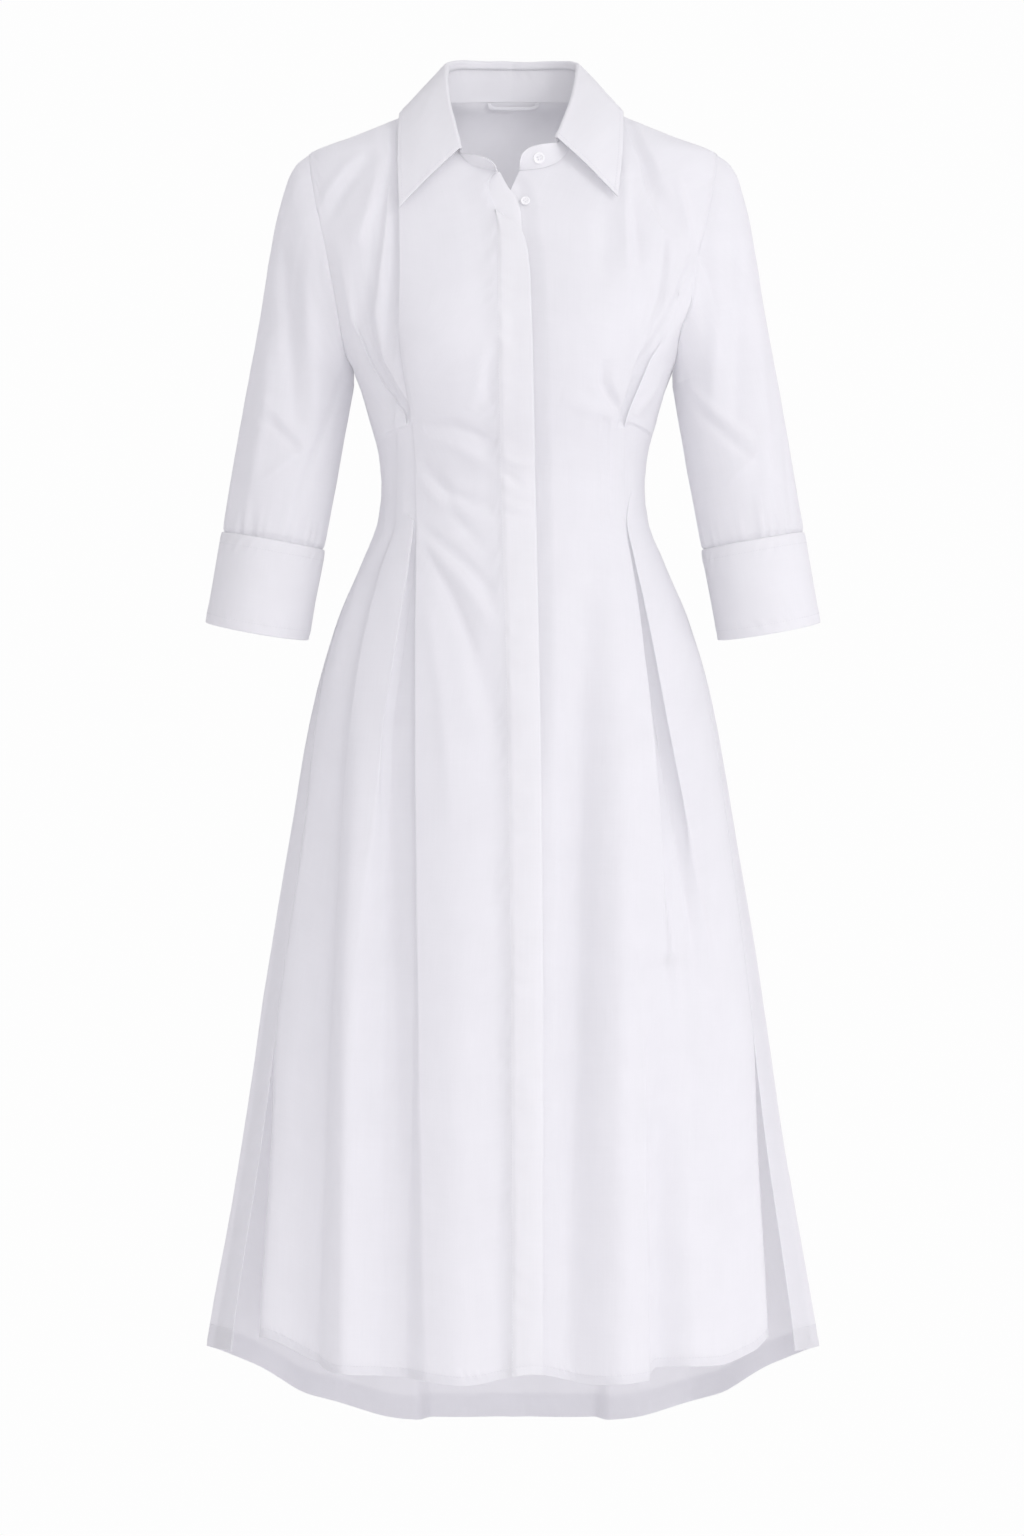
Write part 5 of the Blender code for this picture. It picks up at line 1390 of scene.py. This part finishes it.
def weave_group():
    """Plain weave in a flat cloth's metres: threads crossing over and under, uneven slubs."""
    if "plain_weave" in bpy.data.node_groups:
        return bpy.data.node_groups["plain_weave"]
    group = bpy.data.node_groups.new("plain_weave", "ShaderNodeTree")
    nodes, link = group.nodes, group.links.new
    for label, way, kind, default in (
            ("Cloth", "INPUT", "Vector", None), ("Pitch", "INPUT", "Float", 0.0005),
            ("Slub", "INPUT", "Float", 0.5), ("Shade", "INPUT", "Float", 0.03),
            ("Colour", "INPUT", "Color", (0.9, 0.9, 0.92, 1.0)),
            ("Colour", "OUTPUT", "Color", None), ("Height", "OUTPUT", "Float", None),
            ("Roughness", "OUTPUT", "Float", None)):
        socket = group.interface.new_socket(label, in_out=way, socket_type="NodeSocket" + kind)
        if default is not None:
            socket.default_value = default
    given, put = nodes.new("NodeGroupInput").outputs, nodes.new("NodeGroupOutput").inputs

    def calc(kind, first, second=None):
        node = new_node(nodes, "ShaderNodeMath", operation=kind)
        for socket, value in zip(node.inputs, (first, second)):
            if isinstance(value, (int, float)):
                socket.default_value = value
            elif value is not None:
                link(value, socket)
        return node.outputs[0]

    def noise(place, scale, detail, **values):
        node = new_node(nodes, "ShaderNodeTexNoise", {"Scale": scale, "Detail": detail, **values})
        link(place, node.inputs["Vector"])
        return calc("SUBTRACT", node.outputs["Fac"], 0.5)

    split = nodes.new("ShaderNodeSeparateXYZ")
    link(given["Cloth"], split.inputs[0])
    counts = [calc("DIVIDE", split.outputs[axis], given["Pitch"]) for axis in ("X", "Y")]
    across, along = (calc("SINE", calc("MULTIPLY", count, math.pi)) for count in counts)
    over = calc("MULTIPLY", calc("MULTIPLY", across, along), 0.35)
    threads = calc("MULTIPLY", calc("ABSOLUTE", across), calc("ABSOLUTE", along))
    weave = calc("ADD", over, threads)
    slubs = []
    for scale, long_way in ((910.0, (1.0, 0.018, 1.0)), (805.0, (0.02, 1.0, 1.0))):
        stretch = new_node(nodes, "ShaderNodeVectorMath", {1: long_way}, operation="MULTIPLY")
        link(given["Cloth"], stretch.inputs[0])
        slubs.append(noise(stretch.outputs[0], scale, 2.0, Roughness=0.6))
    slub = calc("MULTIPLY", calc("ADD", slubs[0], calc("MULTIPLY", slubs[1], 0.6)), given["Slub"])
    link(calc("ADD", calc("MULTIPLY", weave, 0.35), calc("MULTIPLY", slub, 2.2)), put["Height"])
    shade = calc("ADD", calc("MULTIPLY", slub, 1.4), noise(given["Cloth"], 22.0, 3.0))
    bright = nodes.new("ShaderNodeHueSaturation")
    link(calc("ADD", calc("MULTIPLY", shade, given["Shade"]), 1.0), bright.inputs["Value"])
    link(given["Colour"], bright.inputs["Color"])
    link(bright.outputs["Color"], put["Colour"])
    link(calc("ADD", calc("MULTIPLY", slub, -0.25), 0.8), put["Roughness"])
    return group


def new_material(name, **values):
    """A material, its nodes, what links them, and the inputs of its shader with these values."""
    material = bpy.data.materials.new(name)
    material.use_nodes = True
    nodes = material.node_tree.nodes
    shader = nodes["Principled BSDF"].inputs
    for label, value in values.items():
        shader[label.replace("_", " ")].default_value = value
    return material, nodes, material.node_tree.links.new, shader


def blended_shaders(nodes, link, share, first, second):
    """Puts a mix of two shaders on the surface; the share is a number or an output."""
    both = nodes.new("ShaderNodeMixShader")
    if isinstance(share, float):
        both.inputs["Fac"].default_value = share
    else:
        link(share, both.inputs["Fac"])
    link(first, both.inputs[1])
    link(second, both.inputs[2])
    link(both.outputs["Shader"], nodes["Material Output"].inputs["Surface"])


def cloth_material(name):
    """White cotton: the weave group on the flat cloth's map, over a matt shader with sheen."""
    if name in bpy.data.materials:
        return bpy.data.materials[name]
    slub, bump, lets_through = CLOTHS[name]
    material, nodes, link, shader = new_material(
        name, Sheen_Weight=0.35, Sheen_Roughness=0.45, Specular_IOR_Level=0.28)
    flat = new_node(nodes, "ShaderNodeUVMap", uv_map="flat_cloth")
    weave = nodes.new("ShaderNodeGroup")
    weave.node_tree = weave_group()
    for label, value in (("Pitch", cloth_settings().weave_pitch), ("Slub", slub), ("Shade", 0.05),
                         ("Colour", cloth_settings().colour)):
        weave.inputs[label].default_value = value
    link(flat.outputs["UV"], weave.inputs["Cloth"])
    link(weave.outputs["Colour"], shader["Base Color"])
    link(weave.outputs["Roughness"], shader["Roughness"])
    relief = new_node(nodes, "ShaderNodeBump", {"Strength": bump, "Distance": 0.00006})
    link(weave.outputs["Height"], relief.inputs["Height"])
    link(relief.outputs["Normal"], shader["Normal"])
    # Thin cotton lets some light through.
    through = nodes.new("ShaderNodeBsdfTranslucent")
    link(weave.outputs["Colour"], through.inputs["Color"])
    blended_shaders(nodes, link, lets_through, nodes["Principled BSDF"].outputs["BSDF"],
                    through.outputs["BSDF"])
    return material


def clouded_material(name, colour, darker, pattern, marks, **values):
    """A material whose colour goes a little darker along a pattern, and the pattern itself."""
    material, nodes, link, shader = new_material(name, **values)
    place = nodes.new("ShaderNodeTexCoord")
    cloud = new_node(nodes, pattern, marks)
    link(place.outputs["Object"], cloud.inputs["Vector"])
    dark = [darker * c for c in colour[:3]] + [1.0]
    tone = new_node(nodes, "ShaderNodeMix", {"A": colour, "B": dark}, data_type="RGBA")
    link(cloud.outputs["Fac"], tone.inputs["Factor"])
    link(tone.outputs["Result"], shader["Base Color"])
    return material, nodes, link, shader, cloud.outputs["Fac"]


def thread_material(name="sewing_thread"):
    if name in bpy.data.materials:
        return bpy.data.materials[name]
    material, nodes, link, shader, twist = clouded_material(
        name, bpy.context.scene.shirt_dress_sewing.colour, 0.93, "ShaderNodeTexWave",
        {"Scale": 900.0, "Distortion": 1.5}, Roughness=0.55)
    relief = new_node(nodes, "ShaderNodeBump", {"Strength": 0.4, "Distance": 0.00005})
    link(twist, relief.inputs["Height"])
    link(relief.outputs["Normal"], shader["Normal"])
    return material


def resin_material(name="white_resin"):
    if name in bpy.data.materials:
        return bpy.data.materials[name]
    material, nodes, link, shader, cloud = clouded_material(
        name, bpy.context.scene.shirt_dress_buttons.colour, 0.9, "ShaderNodeTexNoise",
        {"Scale": 260.0, "Detail": 3.0}, Coat_Weight=0.3, Coat_Roughness=0.12)
    polish = new_node(nodes, "ShaderNodeMapRange", {"To Min": 0.2, "To Max": 0.34})
    link(cloud, polish.inputs["Value"])
    link(polish.outputs["Result"], shader["Roughness"])
    return material


def floor_material():
    """A plain pale floor: its own faint light towards the lens, and matt to everything else."""
    material, nodes, link, shader = new_material(
        "pale_floor", Base_Color=(0.88, 0.87, 0.89, 1.0), Roughness=0.9)
    colour = bpy.context.scene.shirt_dress_stage.floor_colour
    glow = new_node(nodes, "ShaderNodeEmission", {"Color": colour, "Strength": 1.0})
    blended_shaders(nodes, link, nodes.new("ShaderNodeLightPath").outputs["Is Camera Ray"],
                    nodes["Principled BSDF"].outputs["BSDF"], glow.outputs["Emission"])
    return material


# ---------------------------------------------------------------- settings
CLOTH_COLOUR = tuple(frame["record"]["materials"][0]["base_color"]) + (1.0,)
BUTTON_COLOUR = tuple(frame["record"]["materials"][2]["base_color"]) + (1.0,)


def colour_setting(name, description, default):
    return bpy.props.FloatVectorProperty(name=name, description=description, default=default,
                                         subtype="COLOR", size=4, min=0.0, max=1.0)


def length_setting(name, description, default, low, high):
    return bpy.props.FloatProperty(name=name, description=description, default=default, min=low,
                                   max=high, subtype="DISTANCE", unit="LENGTH", precision=5)


def power_setting(name, description, default):
    return bpy.props.FloatProperty(name=name, description=description, default=default, min=0.0,
                                   subtype="POWER", unit="POWER")


class ClothSettings(bpy.types.PropertyGroup):
    colour: colour_setting("Cloth colour", "Colour of the cotton", CLOTH_COLOUR)
    weave_pitch: length_setting("Weave pitch", "From one thread of the cotton to the next",
                                0.00045, 0.0001, 0.003)
    crease_depth: bpy.props.FloatProperty(
        name="Crease depth", description="Depth of the placed creases, as a share of their tables",
        subtype="FACTOR", default=1.6, min=0.0, max=4.0)
    pucker_depth: length_setting("Pucker depth", "Height of the small ridges along sewing",
                                 0.0006, 0.0, 0.002)
    ripple_depth: length_setting("Ripple depth", "Faint unevenness of the hanging cloth",
                                 0.0009, 0.0, 0.003)
    hem_roll: length_setting("Hem roll", "Radius of a folded edge", 0.0005, 0.0002, 0.002)


class SewingSettings(bpy.types.PropertyGroup):
    colour: colour_setting("Thread colour", "Colour of the sewing thread", (0.86, 0.86, 0.89, 1.0))
    stitch_pitch: length_setting("Stitch pitch", "From one stitch to the next",
                                 0.0029, 0.001, 0.01)
    stitch_length: length_setting("Stitch length", "Length of thread that shows between two holes",
                                  0.0022, 0.0005, 0.01)
    thread_width: length_setting("Thread width", "Width of the thread as it lies on the cloth",
                                 0.00045, 0.0001, 0.002)


class ButtonSettings(bpy.types.PropertyGroup):
    colour: colour_setting("Button colour", "Colour of the resin", BUTTON_COLOUR)
    hole_width: length_setting("Hole width", "Diameter of a sewing hole in an 11 mm button",
                               0.0014, 0.0005, 0.003)
    hole_spacing: length_setting("Hole spacing", "Between the sewing holes of an 11 mm button",
                                 0.0026, 0.001, 0.005)


class StageSettings(bpy.types.PropertyGroup):
    floor_colour: colour_setting("Floor colour", "Colour of the floor and backdrop",
                                 (0.985, 0.985, 0.985, 1.0))
    key_power: power_setting("Key light", "Power of the soft light above, on the viewer's right",
                             29.0)
    side_power: power_setting("Side light", "Power of the soft light beside the dress", 12.0)
    low_power: power_setting("Low light", "Power of the soft light that reaches under the hem",
                             28.0)
    room_light: bpy.props.FloatProperty(
        name="Room light", description="Strength of the even light from all round",
        default=0.795, min=0.0)
    lens: bpy.props.FloatProperty(
        name="Lens", description="Focal length of the camera", default=112.2, min=20.0, max=300.0)


def cloth_settings():
    return bpy.context.scene.shirt_dress_cloth


# ---------------------------------------------------------------- operators
class DRESS_OT_fronts(bpy.types.Operator):
    """Make the right and left front, with their pleats, creases and turned hems"""

    bl_idname = "shirt_dress.fronts"
    bl_label = "Fronts"

    def execute(self, context):
        make_front(RIGHT, RIGHT_FRONT_EDGE, fly_lift, 3)
        make_front(LEFT, LEFT_FRONT_EDGE, lap_lift, 8)
        return {"FINISHED"}


class DRESS_OT_back(bpy.types.Operator):
    """Make the back, with its waist pleats and the deep facing inside its hem"""

    bl_idname = "shirt_dress.back"
    bl_label = "Back"

    def execute(self, context):
        waves = [("low", HEM_STITCH, 0.011, 0.006, 0.8), ("first", 0.0, 0.017, 0.01, 0.8),
                 ("last", 0.0, 0.017, 0.01, 0.8), ("high", 0.0, 0.019, 0.01, 0.8)]
        piece = cloth_piece("back_cloth", back_grid(), waves, 14,
                            turns=(("low", len(HEM_ROWS) - 3), ("first", 7), ("last", 7)))
        sewn(piece, nodes=("back", "skirt_back"))
        return {"FINISHED"}


class DRESS_OT_fly(bpy.types.Operator):
    """Make the fly: its outer layer with a folded free edge, and the buttonhole band behind"""

    bl_idname = "shirt_dress.fly"
    bl_label = "Fly"

    def execute(self, context):
        def lift(angle, height, t):
            lifted = fly_lift(angle, height) + PLACKET_LIFT * ease(t / PLACKET_RISE)
            return lifted - PLACKET_FALL * t

        points = strip_grid(RIGHT_FRONT_EDGE, 0.0, PLACKET_EDGE, PLACKET_END, lift,
                            np.array(PLACKET_COLUMNS))
        waves = [("first", 0.0, 0.024, 0.014, 1.3), ("first", 0.0, 0.012, 0.006, 0.6),
                 ("low", HEM_STITCH, 0.0095, 0.005, 0.4), ("last", 0.0, 0.031, 0.01, 0.6)]
        piece = cloth_piece("placket_cloth", points, waves, 21, "white_cotton_double",
                            turns=(("low", 8), ("last", 10, 0.0008), ("high", 6)),
                            edges=("first", "low"))
        sewn(piece)
        band = strip_grid(RIGHT_FRONT_EDGE, -BAND_UNDER, BAND_EDGE, BAND_END,
                          lambda a, h, t: BAND_LIFT, np.linspace(0, 1, 13))
        piece = cloth_piece("buttonhole_band_cloth", band, [("last", 0.0, 0.021, 0.008, 0.8)], 27,
                            "white_cotton_double", turns=(("last", 7),))
        sewn(piece)
        return {"FINISHED"}


class DRESS_OT_sleeves(bpy.types.Operator):
    """Make both sleeves, with their creases and the gathers above the cuffs"""

    bl_idname = "shirt_dress.sleeves"
    bl_label = "Sleeves"

    def execute(self, context):
        make_sleeve(RIGHT, 31)
        make_sleeve(LEFT, 36)
        return {"FINISHED"}


class DRESS_OT_cuffs(bpy.types.Operator):
    """Make both cuffs, each folded double at its lower edge"""

    bl_idname = "shirt_dress.cuffs"
    bl_label = "Cuffs"

    def execute(self, context):
        make_cuff(RIGHT, 41)
        make_cuff(LEFT, 46)
        return {"FINISHED"}


class DRESS_OT_collar(bpy.types.Operator):
    """Make the collar's stand and leaf"""

    bl_idname = "shirt_dress.collar"
    bl_label = "Collar"

    def execute(self, context):
        waves = [("high", 0.004, 0.012, 0.006, 0.5)]
        piece = cloth_piece("collar_stand_cloth", stand_grid(), waves, 51,
                            "white_cotton_interlined", wall=0.0011)
        sewn(piece)
        waves = [("high", COLLAR_STITCH, 0.017, 0.007, 0.45),
                 ("first", COLLAR_STITCH, 0.014, 0.007, 0.5),
                 ("last", COLLAR_STITCH, 0.014, 0.007, 0.5)]
        piece = cloth_piece("collar_leaf_cloth", leaf_grid(), waves, 56,
                            "white_cotton_interlined", wall=0.0012)
        sewn(piece)
        return {"FINISHED"}


class DRESS_OT_buttons(bpy.types.Operator):
    """Make the collar's button and the one in the open neck"""

    bl_idname = "shirt_dress.buttons"
    bl_label = "Buttons"

    def execute(self, context):
        def on_stand(along, up):
            low, high = stand_half(LEFT, np.array([along]))
            return mix(low[0], high[0], up)

        place = on_stand(*COLLAR_BUTTON)
        along = on_stand(COLLAR_BUTTON[0] + 0.02, COLLAR_BUTTON[1]) - place
        up = on_stand(COLLAR_BUTTON[0], COLLAR_BUTTON[1] + 0.1) - place
        make_button("collar_button", place, -unit(np.cross(along, up)), 0.4, 1.0)
        angle, height = angle_at(*FRONT_BUTTON), FRONT_BUTTON[1]
        place = cloth_point(angle, height, lap_lift(angle, height))
        make_button("front_button", place, body_directions(angle, height)[0], 0.9, 0.8)
        return {"FINISHED"}


class DRESS_OT_hanger_loop(bpy.types.Operator):
    """Make the tape at the back of the neck"""

    bl_idname = "shirt_dress.hanger_loop"
    bl_label = "Hanger loop"

    def execute(self, context):
        middle = smooth_line(HANGER_LOOP, 70)
        run = unit(np.gradient(middle, axis=0))
        beside = np.stack([-run[:, 1], run[:, 0]], axis=-1) * 0.0015
        rows = []
        for share in np.linspace(1, -1, 7):
            place = middle + share * beside
            inner = cloth_point(math.pi - angle_at(place[:, 0], place[:, 1]), place[:, 1], -0.0012)
            depth = inner[:, 1] - 0.0019 - 0.0003 * (1 - share * share)
            rows.append(np.stack([place[:, 0], depth, place[:, 1]], axis=-1))
        piece = grid_piece("hanger_loop_tape", np.array(rows),
                           cloth_material("white_cotton_interlined"), wall=0.0007)
        sewn(piece)
        return {"FINISHED"}


class DRESS_OT_sewing(bpy.types.Operator):
    """Sew every visible line of stitches on the finished cloth"""

    bl_idname = "shirt_dress.sewing"
    bl_label = "Sewing"

    def execute(self, context):
        for name, rows in SEWING_LINES.items():
            lines = []
            for grid, edge, distance, first, last in rows:
                line, normals = line_inside(grid, edge, distance)
                start, end = (int(round(share * (len(line) - 1))) for share in (first, last))
                lines.append((line[start : end + 1], normals[start : end + 1]))
            if not lines:
                raise RuntimeError("no lines to sew for " + name)
            stitches(name, lines)
        return {"FINISHED"}


class DRESS_OT_stage(bpy.types.Operator):
    """Make the pale floor and backdrop, the soft lights and the camera"""

    bl_idname = "shirt_dress.stage"
    bl_label = "Stage"

    def execute(self, context):
        stage = context.scene.shirt_dress_stage
        bend = [(BACKDROP_FAR + BACKDROP_BEND * math.sin(a),
                 FLOOR_LEVEL + BACKDROP_BEND * (1 - math.cos(a)))
                for a in np.linspace(0, math.pi / 2, 17)]
        profile = [(-FLOOR_HALF, FLOOR_LEVEL), *bend, (BACKDROP_FAR + BACKDROP_BEND, BACKDROP_TOP)]
        points = [[(x, y, z) for x in (-FLOOR_HALF, FLOOR_HALF)] for y, z in profile]
        faces = [(2 * i, 2 * i + 1, 2 * i + 3, 2 * i + 2) for i in range(len(profile) - 1)]
        name = "floor_and_backdrop"
        linked(name, smooth_mesh(name, points, faces, floor_material()))
        for name, place, size in LIGHTS:
            light = bpy.data.lights.new(name + "_light", "AREA")
            light.energy = getattr(stage, name + "_power")
            light.color = LIGHT_TINT
            light.size = size
            lamp = linked(name + "_light", light)
            lamp.location = place
            aim = Vector(LIGHT_AIM) - lamp.location
            lamp.rotation_euler = aim.to_track_quat("-Z", "Y").to_euler()
        world = bpy.data.worlds.new("soft_room")
        world.use_nodes = True
        background = world.node_tree.nodes["Background"]
        background.inputs["Color"].default_value = ROOM_TINT
        background.inputs["Strength"].default_value = stage.room_light
        context.scene.world = world
        camera = bpy.data.cameras.new("camera")
        camera.lens = stage.lens
        camera.sensor_width = 36.0
        seen_from = linked("camera", camera)
        seen_from.location = CAMERA_PLACE
        seen_from.rotation_euler = (math.pi / 2, 0.0, 0.0)
        context.scene.camera = seen_from
        context.scene.view_settings.view_transform = "Standard"
        context.scene.view_settings.look = "None"
        return {"FINISHED"}


class DRESS_PT_panel(bpy.types.Panel):
    """The dress's settings and the steps that make it"""

    bl_idname = "DRESS_PT_panel"
    bl_label = "Shirt Dress"
    bl_space_type = "VIEW_3D"
    bl_region_type = "UI"
    bl_category = "Shirt Dress"

    def draw(self, context):
        for settings in SETTINGS:
            box = self.layout.box()
            for item in SETTINGS[settings].__annotations__:
                box.prop(getattr(context.scene, settings), item)
        for step in OPERATORS:
            self.layout.operator(step.bl_idname)


SETTINGS = {
    "shirt_dress_cloth": ClothSettings,
    "shirt_dress_sewing": SewingSettings,
    "shirt_dress_buttons": ButtonSettings,
    "shirt_dress_stage": StageSettings,
}
OPERATORS = (
    DRESS_OT_fronts,
    DRESS_OT_back,
    DRESS_OT_fly,
    DRESS_OT_sleeves,
    DRESS_OT_cuffs,
    DRESS_OT_collar,
    DRESS_OT_buttons,
    DRESS_OT_hanger_loop,
    DRESS_OT_sewing,
    DRESS_OT_stage,
)


def register():
    for made in (*SETTINGS.values(), *OPERATORS, DRESS_PT_panel):
        bpy.utils.register_class(made)
    for name, made in SETTINGS.items():
        setattr(bpy.types.Scene, name, bpy.props.PointerProperty(type=made))


def unregister():
    for name in SETTINGS:
        delattr(bpy.types.Scene, name)
    for made in reversed((*SETTINGS.values(), *OPERATORS, DRESS_PT_panel)):
        bpy.utils.unregister_class(made)


def main():
    register()
    for step in (
        bpy.ops.shirt_dress.fronts,
        bpy.ops.shirt_dress.back,
        bpy.ops.shirt_dress.fly,
        bpy.ops.shirt_dress.sleeves,
        bpy.ops.shirt_dress.cuffs,
        bpy.ops.shirt_dress.collar,
        bpy.ops.shirt_dress.buttons,
        bpy.ops.shirt_dress.hanger_loop,
        bpy.ops.shirt_dress.sewing,
        bpy.ops.shirt_dress.stage,
    ):
        step()


if __name__ == "__main__":
    main()
